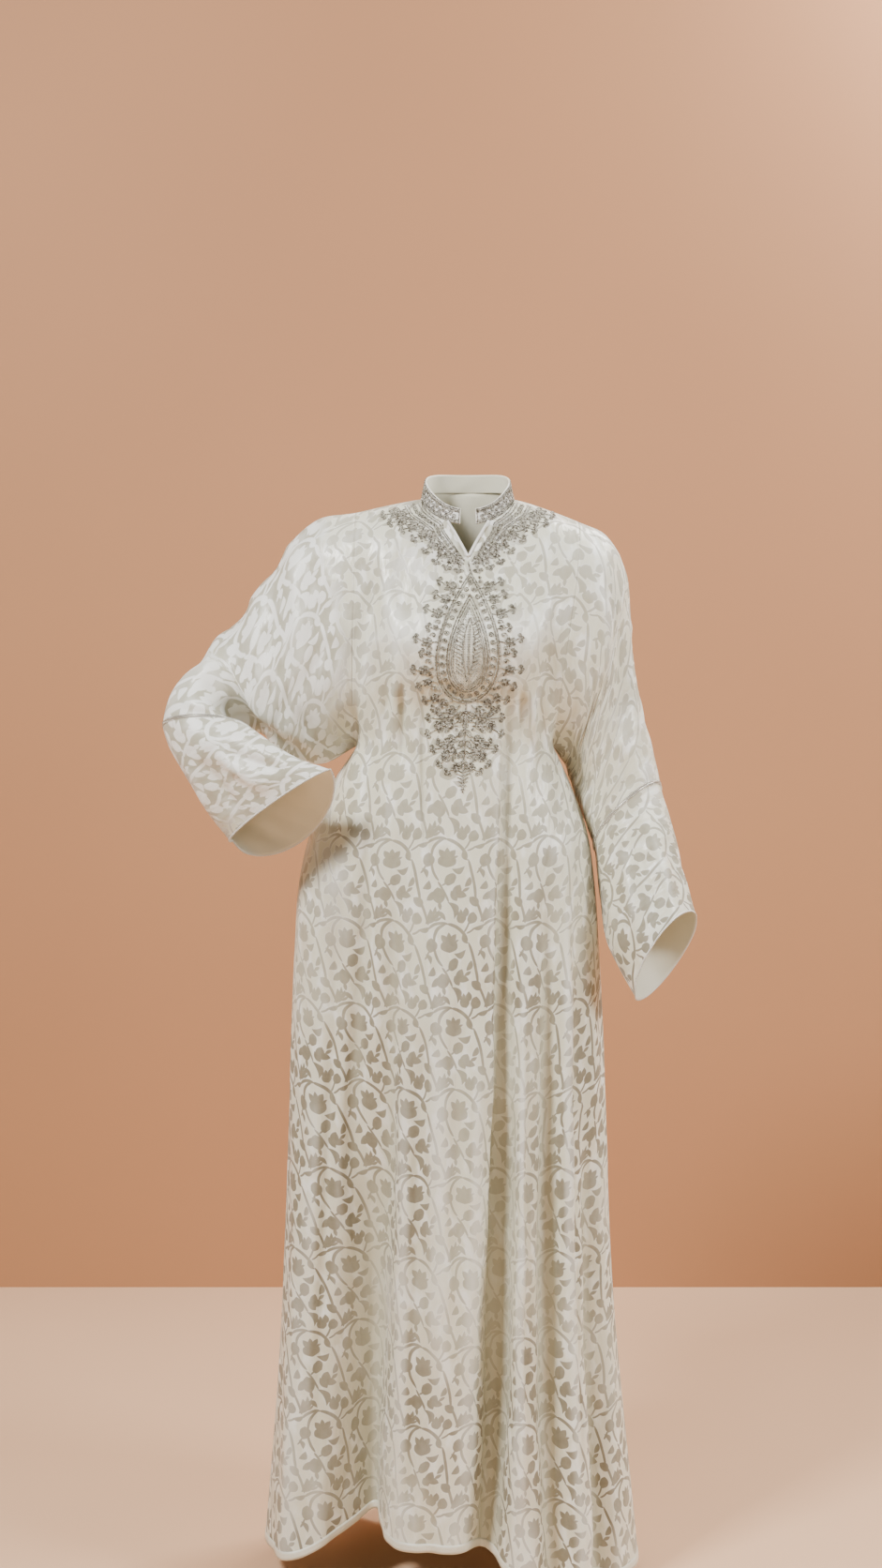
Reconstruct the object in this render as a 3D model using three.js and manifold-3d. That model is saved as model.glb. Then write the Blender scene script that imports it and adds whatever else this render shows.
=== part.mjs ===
// Long kaftan with wide dolman sleeves, a low stand collar, a keyhole slit and raised bead work.
// It keeps the hollow form that it has when it is worn: one arm bent to the hip, one hanging.
// Millimetres, +Z up, the front faces -Y, the wearer's left is +X.
// The origin is the middle of the shoulder line, and a drop is a length below it.
import * as THREE from "three";
import { mergeVertices } from "three/addons/utils/BufferGeometryUtils.js";
import Module from "manifold-3d";

const wasm = await Module();
wasm.setup();

// Walls and seams
const CLOTH = 1.5;
const COLLAR_WALL = 2;
const BEAD_WORK = 1.4;
const TEARDROP_WALL = 1.6;
const BRAID = 1.4;
const SEAM_GAP = 0.3;
const HALF_GAP = SEAM_GAP / 2;
const WIDE_GAP = 0.7;
const ARMHOLE_GAP = 1.3;
const NECK_WORK_LIFT = 1.7;
const HEM_BAND = 22;
const HEM_RAISE = 0.7;

// Neck, shoulders and the keyhole slit
const MIDDLE_Y = 5;
const NECK = { side: 62, depth: 62, sideRise: 4, frontFall: 24.5, curve: 12.5 };
const SHOULDER = { x: 150, rightDrop: 14, leftDrop: 26, curve: 1.2 };
const UNDERARM = { drop: 330 };
const SHOULDER_ROUND = 74;
const SLIT = { half: 27, tip: 2.5, rows: 3, curve: 1.2 };
const COLLAR = { height: 25, lean: 5, frontLoss: 4, tipTurn: 10, frontShare: 0.6 };

// The panels' cross-section: rounder at the shoulders, flatter at the waist
const CHEST_ROUND = { high: 1.25, low: 0.5, over: 150 };

// Arc length round the skirt for each radian, as a share of its half width; how much of a fold
// goes sideways; and the furthest that a fold's middle lies across
const FOLD_RADIUS = 0.82;
const FOLD_SIDEWAYS = 0.6;
const FOLD_REACH = 0.97;

// Grid of the panels: rows down, columns across
const ARMHOLE_ROWS = 14;
const SKIRT_ROWS = 22;
const SHOULDER_COLUMNS = 7;
const FRONT_HALF = 18;
const BACK_HALF = 12;
const HEM_DROP = 1412;
const EVEN_ROWS = 0.45;
const SKIRT_ROW_SPREAD = 1.08;
const DEEP_FOLD = { out: -20, closer: 1.1, spread: 1.6 };

// The torso's cloth above the underarm: how far the middle and the armhole edge stand out
const CHEST = [
  { drop: -20, front: 58, frontEdge: 50, back: 58, backEdge: 52 },
  { drop: 30, front: 64, frontEdge: 58, back: 70, backEdge: 60 },
  { drop: 76, front: 82, frontEdge: 66, back: 86, backEdge: 68 },
  { drop: 130, front: 108, frontEdge: 74, back: 98, backEdge: 74 },
  { drop: 185, front: 128, frontEdge: 77, back: 101, backEdge: 76 },
  { drop: 235, front: 122, frontEdge: 74, back: 96, backEdge: 72 },
  { drop: 275, front: 106, frontEdge: 56, back: 89, backEdge: 56 },
  { drop: 330, front: 106, frontEdge: 0, back: 86, backEdge: 0 },
];

// The bust's soft fullness, one on each side of the middle
const FULLNESS = { x: 68, drop: 190, width: 52, height: 62, out: 13 };

// The skirt below the underarm: half a ring's width, and its depth to the front and the back
const SKIRT = [
  { drop: 330, middle: -17, side: 133, front: 106, back: 86 },
  { drop: 382, middle: -22, side: 163, front: 113, back: 92 },
  { drop: 446, middle: -25, side: 189, front: 122, back: 105 },
  { drop: 517, middle: -28, side: 203, front: 129, back: 118 },
  { drop: 600, middle: -28, side: 209, front: 133, back: 126 },
  { drop: 725, middle: -27, side: 215, front: 137, back: 133 },
  { drop: 990, middle: -27, side: 225, front: 142, back: 150 },
  { drop: 1120, middle: -26, side: 232, front: 144, back: 160 },
  { drop: 1255, middle: -24, side: 243, front: 147, back: 170 },
  { drop: 1475, middle: -22, side: 264, front: 152, back: 188 },
];

// The hem's drop round the skirt, by degrees from the front, + to the wearer's left
const HEM = [
  { degrees: -180, drop: 1452 },
  { degrees: -120, drop: 1450 },
  { degrees: -78, drop: 1439 },
  { degrees: -52, drop: 1432 },
  { degrees: -33, drop: 1386 },
  { degrees: -22, drop: 1398 },
  { degrees: -8, drop: 1398 },
  { degrees: 7, drop: 1403 },
  { degrees: 18, drop: 1430 },
  { degrees: 45, drop: 1462 },
  { degrees: 80, drop: 1470 },
  { degrees: 130, drop: 1462 },
  { degrees: 180, drop: 1452 },
];

// The skirt's large folds: place across at the start and at the hem, start and full drop,
// width to the wearer's right and left, and how far the cloth goes out or in at the hem
const FOLDS = [
  { face: 1, from: -138, to: -166, start: 420, full: 1400, right: 34, left: 40, out: -104 },
  { face: 1, from: -205, to: -240, start: 520, full: 1400, right: 34, left: 26, out: 20 },
  { face: 1, from: -70, to: -62, start: 360, full: 1200, right: 40, left: 60, out: 10 },
  { face: 1, from: 56, to: 24, start: 300, full: 1250, right: 18, left: 16, out: -42 },
  { face: 1, from: 62, to: 66, start: 330, full: 1250, right: 22, left: 40, out: 30 },
  { face: 1, from: 104, to: 112, start: 420, full: 1300, right: 18, left: 20, out: -24 },
  { face: 1, from: 135, to: 150, start: 480, full: 1300, right: 24, left: 26, out: 22 },
  { face: 1, from: 158, to: 186, start: 620, full: 1350, right: 18, left: 20, out: -30 },
  { face: 1, from: -58, to: -52, start: 290, full: 400, right: 9, left: 9, out: -4 },
  { face: -1, from: -165, to: -195, start: 500, full: 1350, right: 30, left: 26, out: -34 },
  { face: -1, from: -120, to: -140, start: 450, full: 1350, right: 30, left: 30, out: 26 },
  { face: -1, from: -70, to: -92, start: 400, full: 1300, right: 26, left: 22, out: -40 },
  { face: -1, from: -20, to: -28, start: 380, full: 1300, right: 34, left: 34, out: 24 },
  { face: -1, from: 30, to: 34, start: 400, full: 1300, right: 22, left: 26, out: -42 },
  { face: -1, from: 76, to: 92, start: 430, full: 1350, right: 30, left: 28, out: 26 },
  { face: -1, from: 118, to: 148, start: 520, full: 1350, right: 24, left: 26, out: -30 },
];

// Stations of a sleeve from the armhole to the edge of the cuff: the line over the arm, the line
// under it, and how far the cloth stands to the front and the back between the two
const SEAM_STATION = 6;
const ARMHOLE_STATIONS = 3;
const RIGHT_SLEEVE = [
  { overX: -150, overY: 5, overDrop: 14, underX: -150, underY: 5, underDrop: 330, front: 74, back: 74 },
  { overX: -206, overY: 6, overDrop: 27, underX: -186, underY: 3, underDrop: 350, front: 76, back: 74 },
  { overX: -259, overY: 8, overDrop: 78, underX: -224, underY: -2, underDrop: 354, front: 75, back: 72 },
  { overX: -310, overY: 11, overDrop: 151, underX: -258, underY: -6, underDrop: 341, front: 72, back: 70 },
  { overX: -353, overY: 15, overDrop: 207, underX: -288, underY: -13, underDrop: 311, front: 66, back: 66 },
  { overX: -384, overY: 18, overDrop: 258, underX: -308, underY: -43, underDrop: 286, front: 60, back: 61 },
  { overX: -390, overY: 12, overDrop: 316, underX: -318, underY: -74, underDrop: 290, front: 57, back: 52 },
  { overX: -374, overY: -6, overDrop: 364, underX: -284, underY: -106, underDrop: 304, front: 52, back: 40 },
  { overX: -349, overY: -28, overDrop: 410, underX: -236, underY: -132, underDrop: 332, front: 44, back: 42 },
  { overX: -318, overY: -50, overDrop: 456, underX: -180, underY: -148, underDrop: 353, front: 38, back: 50 },
];
const RIGHT_TILT = [
  { station: 0, frontUp: 0, backDown: 0 },
  { station: 6, frontUp: 0, backDown: 0 },
  { station: 9, frontUp: 6, backDown: 60 },
];
const LEFT_SLEEVE = [
  { overX: 150, overY: 5, overDrop: 26, underX: 116, underY: 5, underDrop: 330, front: 74, back: 74 },
  { overX: 187, overY: 6, overDrop: 46, underX: 128, underY: 20, underDrop: 346, front: 72, back: 72 },
  { overX: 215, overY: 8, overDrop: 95, underX: 135, underY: 34, underDrop: 362, front: 68, back: 70 },
  { overX: 225, overY: 9, overDrop: 160, underX: 144, underY: 41, underDrop: 386, front: 64, back: 66 },
  { overX: 234, overY: 8, overDrop: 230, underX: 155, underY: 43, underDrop: 412, front: 60, back: 62 },
  { overX: 246, overY: 4, overDrop: 306, underX: 169, underY: 40, underDrop: 442, front: 57, back: 58 },
  { overX: 259, overY: -2, overDrop: 380, underX: 182, underY: 31, underDrop: 477, front: 56, back: 56 },
  { overX: 275, overY: -14, overDrop: 440, underX: 188, underY: 8, underDrop: 543, front: 60, back: 60 },
  { overX: 295, overY: -28, overDrop: 504, underX: 196, underY: -20, underDrop: 612, front: 65, back: 64 },
  { overX: 309, overY: -42, overDrop: 558, underX: 228, underY: -50, underDrop: 670, front: 66, back: 66 },
];
const LEFT_TILT = [
  { station: 0, frontUp: 0, backDown: 0 },
  { station: 6, frontUp: 0, backDown: 0 },
  { station: 9, frontUp: 18, backDown: 6 },
];

// The bead work's outlines, seen from the front: the low places between round lobes, by half
// width and drop, and how far the lobe after each swells out
const NECK_WORK = { slitMargin: 7, footMargin: 12.6 };
const NECK_WORK_EDGE = [
  { half: 118, drop: 27, lobe: 5 },
  { half: 96, drop: 38, lobe: 6 },
  { half: 74, drop: 54, lobe: 6 },
  { half: 56, drop: 74, lobe: 6 },
  { half: 38, drop: 92, lobe: 4 },
  { half: 22, drop: 91, lobe: 0 },
];
const MEDALLION_EDGE = [
  { half: 12, drop: 95, lobe: 0 },
  { half: 42, drop: 104, lobe: 8 },
  { half: 48, drop: 126, lobe: 14 },
  { half: 56, drop: 162, lobe: 16 },
  { half: 68, drop: 210, lobe: 10 },
  { half: 63, drop: 248, lobe: 8 },
  { half: 52, drop: 284, lobe: 8 },
  { half: 42, drop: 320, lobe: 7 },
  { half: 24, drop: 350, lobe: 3 },
  { half: 8, drop: 374, lobe: 0 },
  { half: 0, drop: 390, lobe: 0 },
];
const LOBE_STEPS = 4;
const MEDALLION_LEAN = { top: 3, tip: -8 };
const TEARDROP = { apex: 104, foot: 268, half: 42, band: 14, apexBand: 22.4, fullness: 1.3, corners: 20 };

const IVORY = { color: 0xe6e0d4, roughness: 0.42, metalness: 0 };
const WHITE_SATIN = { color: 0xf0ede4, roughness: 0.45, metalness: 0 };
const PEWTER = { color: 0xa59b87, roughness: 0.35, metalness: 0.75 };
const SILVER = { color: 0xc9c2b2, roughness: 0.3, metalness: 0.85 };

const HALF_TURN = Math.PI;
const QUARTER_TURN = Math.PI / 2;
const mix = (a, b, share) => a + (b - a) * share;
const clamp01 = (value) => Math.min(1, Math.max(0, value));
const smooth = (value) => {
  const t = clamp01(value);
  return t * t * (3 - 2 * t);
};

// Reads every column of a table at a place along one of them, on a smooth curve through its rows
function read(table, key, at) {
  const last = table.length - 1;
  let row = 0;
  while (row < last - 1 && at > table[row + 1][key]) row += 1;
  const before = table[Math.max(row - 1, 0)];
  const start = table[row];
  const end = table[row + 1];
  const after = table[Math.min(row + 2, last)];
  const span = end[key] - start[key];
  const t = clamp01((at - start[key]) / span);
  const values = {};
  for (const name of Object.keys(start)) {
    const startSlope = ((end[name] - before[name]) / (end[key] - before[key])) * span;
    const endSlope = ((after[name] - start[name]) / (after[key] - start[key])) * span;
    values[name] =
      (2 * t ** 3 - 3 * t ** 2 + 1) * start[name] +
      (t ** 3 - 2 * t ** 2 + t) * startSlope +
      (3 * t ** 2 - 2 * t ** 3) * end[name] +
      (t ** 3 - t ** 2) * endSlope;
  }
  return values;
}

// The neckline, by its turn from the front: 0 is the front, a half turn the back, + the left
function neckPoint(turn) {
  const fore = Math.cos(turn);
  return new THREE.Vector3(
    NECK.side * Math.sin(turn),
    MIDDLE_Y - NECK.depth * fore,
    NECK.sideRise - NECK.frontFall * fore - NECK.curve * fore * fore,
  );
}

// The shoulder seam, from the neckline (0) to the shoulder point (1)
function shoulderPoint(side, share) {
  const drop = side < 0 ? SHOULDER.rightDrop : SHOULDER.leftDrop;
  const z = mix(NECK.sideRise, -drop, share ** SHOULDER.curve);
  return new THREE.Vector3(side * mix(NECK.side, SHOULDER.x, share), MIDDLE_Y, z);
}

// How far down a panel a row lies between the shoulder line and the underarm
function rowShare(row) {
  const share = row / ARMHOLE_ROWS;
  return EVEN_ROWS * share + ((1 - EVEN_ROWS) / 2) * (1 - Math.cos(HALF_TURN * share));
}

// Middle of a fold at a drop, as a turn of the skirt's ring
function foldTurn(fold, ring, drop) {
  const share = clamp01((drop - fold.start) / (HEM_DROP - fold.start));
  const across = (mix(fold.from, fold.to, share) - ring.middle) / ring.side;
  const turn = Math.asin(Math.max(-FOLD_REACH, Math.min(FOLD_REACH, across)));
  return fold.face > 0 ? turn : HALF_TURN - turn;
}

const foldGrowth = (fold, drop) => smooth((drop - fold.start) / (fold.full - fold.start));

// How far the folds move the cloth out of the plain ring
function foldOut(turn, ring, drop) {
  const radius = FOLD_RADIUS * ring.side;
  let out = 0;
  for (const fold of FOLDS) {
    let away = turn - foldTurn(fold, ring, drop);
    away = Math.atan2(Math.sin(away), Math.cos(away)) * radius;
    const toLeft = fold.face > 0 ? away > 0 : away < 0;
    const width = toLeft ? fold.left : fold.right;
    out += fold.out * foldGrowth(fold, drop) * Math.exp(-((away / width) ** 2));
  }
  return out;
}

// A point of the skirt by its turn from the front
function skirtPoint(turn, drop) {
  const ring = read(SKIRT, "drop", drop);
  const depth = Math.cos(turn) > 0 ? ring.front : ring.back;
  const out = foldOut(turn, ring, drop);
  return new THREE.Vector3(
    ring.middle + (ring.side + FOLD_SIDEWAYS * out) * Math.sin(turn),
    MIDDLE_Y - (depth + out) * Math.cos(turn),
    -drop,
  );
}

// Turns of the columns across one face at a drop, closer together on its narrow folds
function columnTurns(face, half, drop) {
  const ring = read(SKIRT, "drop", drop);
  const steps = 360;
  const density = (turn) =>
    FOLDS.filter((fold) => fold.face === face && fold.out < DEEP_FOLD.out).reduce((sum, fold) => {
      const middle = foldTurn(fold, ring, drop) - (face > 0 ? 0 : HALF_TURN);
      const width = (DEEP_FOLD.spread * (fold.left + fold.right)) / ring.side;
      const near = Math.exp(-(((turn - middle) / width) ** 2));
      return sum + DEEP_FOLD.closer * foldGrowth(fold, drop) * near;
    }, 1);
  const sums = [0];
  for (let i = 0; i < steps; i += 1) {
    sums.push(sums[i] + density(-QUARTER_TURN + (HALF_TURN * (i + 0.5)) / steps));
  }
  const turns = [];
  let at = 0;
  for (let column = 0; column <= 2 * half; column += 1) {
    const wanted = (sums[steps] * column) / (2 * half);
    while (at < steps - 1 && sums[at + 1] < wanted) at += 1;
    const part = (wanted - sums[at]) / (sums[at + 1] - sums[at]);
    turns.push(-QUARTER_TURN + (HALF_TURN * (at + part)) / steps + (face > 0 ? 0 : HALF_TURN));
  }
  return turns;
}

// Half the slit's width at a row above its tip
const slitHalf = (row) => mix(SLIT.half, SLIT.tip, (row / SLIT.rows) ** SLIT.curve);

// Point on the line that a panel hangs from: neckline, then shoulder seam
function topPoint(face, half, column) {
  const side = Math.sign(column) || 1;
  const neckColumns = half - SHOULDER_COLUMNS;
  const away = Math.abs(column);
  if (away >= neckColumns) return shoulderPoint(side, (away - neckColumns) / SHOULDER_COLUMNS);
  if (face < 0) return neckPoint(HALF_TURN - (column / neckColumns) * QUARTER_TURN);
  const slitTurn = Math.asin(SLIT.half / NECK.side);
  if (away === 0) return neckPoint(0);
  return neckPoint(side * mix(slitTurn, QUARTER_TURN, (away - 1) / (neckColumns - 1)));
}

// A point of a panel above the underarm; columns count from the middle, + to the left
function chestPoint(face, half, column, row) {
  const share = rowShare(row);
  const side = Math.sign(column) || 1;
  const top = topPoint(face, half, column);
  const turns = columnTurns(face, half, UNDERARM.drop);
  const foot = skirtPoint(turns[half + face * column], UNDERARM.drop);
  const ring = read(SKIRT, "drop", UNDERARM.drop);
  const settle = smooth(share);
  const z = mix(top.z, foot.z, share);
  const middle = ring.middle * share;
  let x = mix(top.x, foot.x, settle);
  if (face > 0 && Math.abs(column) === 1) {
    const below = (row - SLIT.rows) / (ARMHOLE_ROWS - SLIT.rows);
    x = row <= SLIT.rows ? side * slitHalf(row) : mix(side * SLIT.tip, foot.x, smooth(2 * below));
  }
  const edge = mix(side * SHOULDER.x, ring.middle + side * ring.side, settle);
  const across = Math.min(1, Math.abs((x - middle) / (edge - middle)));
  const depth = read(CHEST, "drop", -z);
  const full = face > 0 ? depth.front : depth.back;
  const atEdge = face > 0 ? depth.frontEdge : depth.backEdge;
  const height = UNDERARM.drop + z;
  const soften = mix(CHEST_ROUND.low, CHEST_ROUND.high, smooth(height / CHEST_ROUND.over));
  let out = atEdge + (full - atEdge) * (1 - across * across) ** soften;
  if (face > 0) {
    for (const half of [-1, 1]) {
      const dx = (x - middle - half * FULLNESS.x) / FULLNESS.width;
      const dz = (-z - FULLNESS.drop) / FULLNESS.height;
      out += FULLNESS.out * Math.exp(-dx * dx - dz * dz);
    }
  }
  const fall = clamp01((top.z - z) / SHOULDER_ROUND);
  const round = Math.sqrt(1 - (1 - fall) ** 2);
  return new THREE.Vector3(x, mix(top.y, MIDDLE_Y - face * out, round), z);
}

// Drop of a skirt row; the hem is a little higher in the middle of the front
function rowDrop(row, turn) {
  const rows = SKIRT_ROWS - 1;
  const degrees = THREE.MathUtils.radToDeg(Math.atan2(Math.sin(turn), Math.cos(turn)));
  const hem = read(HEM, "degrees", degrees).drop;
  const step = row - ARMHOLE_ROWS;
  if (step === SKIRT_ROWS) return hem;
  return mix(UNDERARM.drop, hem - HEM_BAND, (step / rows) ** SKIRT_ROW_SPREAD);
}

// The grid of a panel, rows from the shoulder line to the hem. Its columns go round the body
// the same way on both faces, so the back's begin at the left side.
function panelGrid(face, half) {
  const points = [];
  for (let row = 0; row <= ARMHOLE_ROWS + SKIRT_ROWS; row += 1) {
    const line = [];
    for (let index = 0; index <= 2 * half; index += 1) {
      const column = face * (index - half);
      if (row <= ARMHOLE_ROWS) {
        line.push(chestPoint(face, half, column, row));
      } else {
        const level = rowDrop(row, 0);
        const turn = columnTurns(face, half, level)[index];
        line.push(skirtPoint(turn, rowDrop(row, turn)));
      }
    }
    points.push(line);
  }
  return { points, flip: false, wrap: false };
}

const lerpStation = (table, at) => {
  const rows = table.map((row, station) => ({ station, ...row }));
  return read(rows, "station", at);
};

// Middle, half height and the direction to the front of a sleeve's ring
function ringFrame(table, side, at) {
  const middle = (place) => {
    const s = lerpStation(table, place);
    return new THREE.Vector3(
      (s.overX + s.underX) / 2,
      (s.overY + s.underY) / 2,
      -(s.overDrop + s.underDrop) / 2,
    );
  };
  const s = lerpStation(table, at);
  const last = table.length - 1;
  const along = middle(Math.min(at + 0.5, last)).sub(middle(Math.max(at - 0.5, 0)));
  const half = new THREE.Vector3(
    (s.overX - s.underX) / 2,
    (s.overY - s.underY) / 2,
    -(s.overDrop - s.underDrop) / 2,
  );
  const front = new THREE.Vector3().crossVectors(along, half).multiplyScalar(side).normalize();
  return { middle: middle(at), half, front, frontDepth: s.front, backDepth: s.back };
}

// A point of a sleeve: round its ring from the line over the arm, down the front, up the back
function sleevePoint(table, tilt, side, at, index) {
  const frame = ringFrame(table, side, at);
  const lean = read(tilt, "station", at);
  const isFront = index <= ARMHOLE_ROWS;
  const row = isFront ? index : 2 * ARMHOLE_ROWS - index;
  const upward = 1 - 2 * rowShare(row);
  const outward = Math.sqrt(Math.max(0, 1 - upward * upward));
  const point = frame.middle.clone().addScaledVector(frame.half, upward);
  point.addScaledVector(frame.front, isFront ? outward * frame.frontDepth : -outward * frame.backDepth);
  point.z += isFront ? outward * lean.frontUp : -outward * lean.backDown;
  return point;
}

// Rings of a sleeve between two stations; the first ring at the armhole is the panels' own edge
function tubeGrid(table, tilt, side, from, to, rings, armhole) {
  const points = [];
  for (let ring = 0; ring <= rings; ring += 1) {
    const at = mix(from, to, ring / rings);
    const line = [];
    for (let index = 0; index < 2 * ARMHOLE_ROWS; index += 1) {
      const point = sleevePoint(table, tilt, side, at, index);
      if (armhole) {
        const start = sleevePoint(table, tilt, side, 0, index);
        const settle = (1 - clamp01(at / ARMHOLE_STATIONS)) ** 2;
        point.addScaledVector(armhole[index].clone().sub(start), settle);
      }
      line.push(point);
    }
    points.push(line);
  }
  return { points, flip: side > 0, wrap: true };
}

// The armhole's edge: down the front panel's side and up the back's
function armholeEdge(front, back, side) {
  const frontColumn = side > 0 ? 2 * FRONT_HALF : 0;
  const backColumn = side > 0 ? 0 : 2 * BACK_HALF;
  const edge = [];
  for (let row = 0; row <= ARMHOLE_ROWS; row += 1) edge.push(front.points[row][frontColumn]);
  for (let row = ARMHOLE_ROWS - 1; row > 0; row -= 1) edge.push(back.points[row][backColumn]);
  return edge;
}

// The stand collar, from its right end round the back to its left end, rising from the neckline
function collarGrid() {
  const neckFront = FRONT_HALF - SHOULDER_COLUMNS;
  const neckBack = BACK_HALF - SHOULDER_COLUMNS;
  const tip = THREE.MathUtils.degToRad(COLLAR.tipTurn);
  const slitTurn = Math.asin(SLIT.half / NECK.side);
  const half = [tip, (tip + slitTurn) / 2];
  for (let i = 0; i < neckFront; i += 1) half.push(mix(slitTurn, QUARTER_TURN, i / (neckFront - 1)));
  for (let i = 1; i < neckBack; i += 1) half.push(QUARTER_TURN * (1 + i / neckBack));
  const turns = [...half.map((turn) => -turn), HALF_TURN, ...[...half].reverse()];
  const points = [0, 0.5, 1].map((level) =>
    turns.map((turn) => {
      const base = neckPoint(turn);
      const fore = smooth((Math.cos(turn) - 1 + COLLAR.frontShare) / COLLAR.frontShare);
      const height = COLLAR.height - COLLAR.frontLoss * fore;
      base.x -= COLLAR.lean * level * Math.sin(turn);
      base.y += COLLAR.lean * level * Math.cos(turn);
      base.z += height * level;
      return base;
    }),
  );
  return { points, flip: false, wrap: false };
}

const cornerKey = (point) => [point.x, point.y, point.z].map((v) => Math.round(v * 1000)).join();

// The direction of a point that no cell uses, as in the slit
const FORWARD = new THREE.Vector3(0, -1, 0);

// Adds up the face directions at each corner over all the grids, so that pieces that meet at a
// seam share their directions there
function sharedDirections(grids) {
  const sums = new Map();
  const add = (point, direction) => {
    const key = cornerKey(point);
    if (!sums.has(key)) sums.set(key, new THREE.Vector3());
    sums.get(key).add(direction);
  };
  for (const grid of grids) {
    eachCell(grid, (a, b, c, d) => {
      for (const [p, q, r] of [[a, b, c], [a, c, d]]) {
        const direction = new THREE.Vector3().crossVectors(q.clone().sub(p), r.clone().sub(p));
        for (const corner of [p, q, r]) add(corner, direction);
      }
    });
  }
  return (point) => (sums.get(cornerKey(point)) ?? FORWARD).clone().normalize();
}

// Calls back with the four corners of each cell, anticlockwise from outside
function eachCell(grid, visit) {
  const rows = grid.points.length - 1;
  const columns = grid.points[0].length;
  const cells = grid.wrap ? columns : columns - 1;
  for (let row = 0; row < rows; row += 1) {
    for (let column = 0; column < cells; column += 1) {
      if (grid.keep && !grid.keep(row, column)) continue;
      const next = (column + 1) % columns;
      const a = grid.points[row][column];
      const b = grid.points[row + 1][column];
      const c = grid.points[row + 1][next];
      const d = grid.points[row][next];
      if (grid.flip) visit(a, d, c, b, row, column);
      else visit(a, b, c, d, row, column);
    }
  }
}

// A closed wall over a grid: its points go out by the two offsets along their directions
function wallGeometry(grid, directionOf, inner, outer) {
  const corners = [];
  const numbers = new Map();
  const numberOf = (point) => {
    if (!numbers.has(point)) {
      numbers.set(point, corners.length);
      corners.push(point);
    }
    return numbers.get(point);
  };
  const faces = [];
  const edges = new Map();
  eachCell(grid, (...cell) => {
    const [a, b, c, d] = cell.slice(0, 4).map(numberOf);
    faces.push([a, b, c], [a, c, d]);
    for (const [from, to] of [[a, b], [b, c], [c, d], [d, a]]) edges.set(`${from},${to}`, [from, to]);
  });
  const count = corners.length;
  const place = (point, offset) => {
    const direction = directionOf(point.seam ?? point);
    const extra = offset === outer && point.raise ? point.raise : 0;
    return point.clone().addScaledVector(direction, offset + extra).toArray();
  };
  const positions = [
    ...corners.flatMap((point) => place(point, outer)),
    ...corners.flatMap((point) => place(point, inner)),
  ];
  const index = [];
  for (const [a, b, c] of faces) index.push(a, b, c, a + count, c + count, b + count);
  for (const [from, to] of edges.values()) {
    if (edges.has(`${to},${from}`)) continue;
    index.push(to, from, from + count, to, from + count, to + count);
  }
  const geometry = new THREE.BufferGeometry();
  geometry.setAttribute("position", new THREE.Float32BufferAttribute(positions, 3));
  geometry.setIndex(index);
  return geometry;
}

// Copies a grid and draws the named edges in by the given lengths; each copied point keeps the
// seam's own point, whose direction it uses
function drawnIn(grid, directionOf, edges) {
  const rows = grid.points.length;
  const columns = grid.points[0].length;
  const points = grid.points.map((line) =>
    line.map((point) => Object.assign(point.clone(), { seam: point, raise: point.raise })),
  );
  const at = (row, column) => {
    const wrapped = grid.wrap ? (column + columns) % columns : Math.min(Math.max(column, 0), columns - 1);
    return grid.points[Math.min(Math.max(row, 0), rows - 1)][wrapped];
  };
  const pull = (row, column, toRow, toColumn, length) => {
    const seam = at(row, column);
    const acrossSeam = toRow === row;
    const before = acrossSeam ? at(row - 1, column) : at(row, column - 1);
    const after = acrossSeam ? at(row + 1, column) : at(row, column + 1);
    const step = after.clone().sub(before).cross(directionOf(seam)).normalize();
    if (step.dot(at(toRow, toColumn).clone().sub(seam)) < 0) step.negate();
    points[row][column].addScaledVector(step, length);
  };
  for (let column = 0; column < columns; column += 1) {
    if (edges.first) pull(0, column, 1, column, edges.first);
    if (edges.last) pull(rows - 1, column, rows - 2, column, edges.last);
  }
  for (let row = 0; row < rows && edges.sides; row += 1) {
    pull(row, 0, row, 1, edges.sides);
    pull(row, columns - 1, row, columns - 2, edges.sides);
  }
  return { ...grid, points };
}

const model = new THREE.Group();

function addMesh(name, geometry, look) {
  const mesh = new THREE.Mesh(geometry, new THREE.MeshStandardMaterial(look));
  geometry.computeVertexNormals();
  mesh.name = name;
  model.add(mesh);
}

// The garment's main surfaces, joined at their seams
const frontGrid = panelGrid(1, FRONT_HALF);
const backGrid = panelGrid(-1, BACK_HALF);
frontGrid.keep = (row, column) =>
  row >= SLIT.rows || (column !== FRONT_HALF - 1 && column !== FRONT_HALF);
const lastStation = RIGHT_SLEEVE.length - 1;
const rightArmhole = armholeEdge(frontGrid, backGrid, -1);
const leftArmhole = armholeEdge(frontGrid, backGrid, 1);
const SLEEVE_RINGS = 10;
const CUFF_RINGS = 6;
const rightSleeve = tubeGrid(RIGHT_SLEEVE, RIGHT_TILT, -1, 0, SEAM_STATION, SLEEVE_RINGS, rightArmhole);
const leftSleeve = tubeGrid(LEFT_SLEEVE, LEFT_TILT, 1, 0, SEAM_STATION, SLEEVE_RINGS, leftArmhole);
const rightCuff = tubeGrid(RIGHT_SLEEVE, RIGHT_TILT, -1, SEAM_STATION, lastStation, CUFF_RINGS);
const leftCuff = tubeGrid(LEFT_SLEEVE, LEFT_TILT, 1, SEAM_STATION, lastStation, CUFF_RINGS);
const collar = collarGrid();
const directionOf = sharedDirections([
  frontGrid, backGrid, rightSleeve, leftSleeve, rightCuff, leftCuff, collar,
]);

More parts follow.
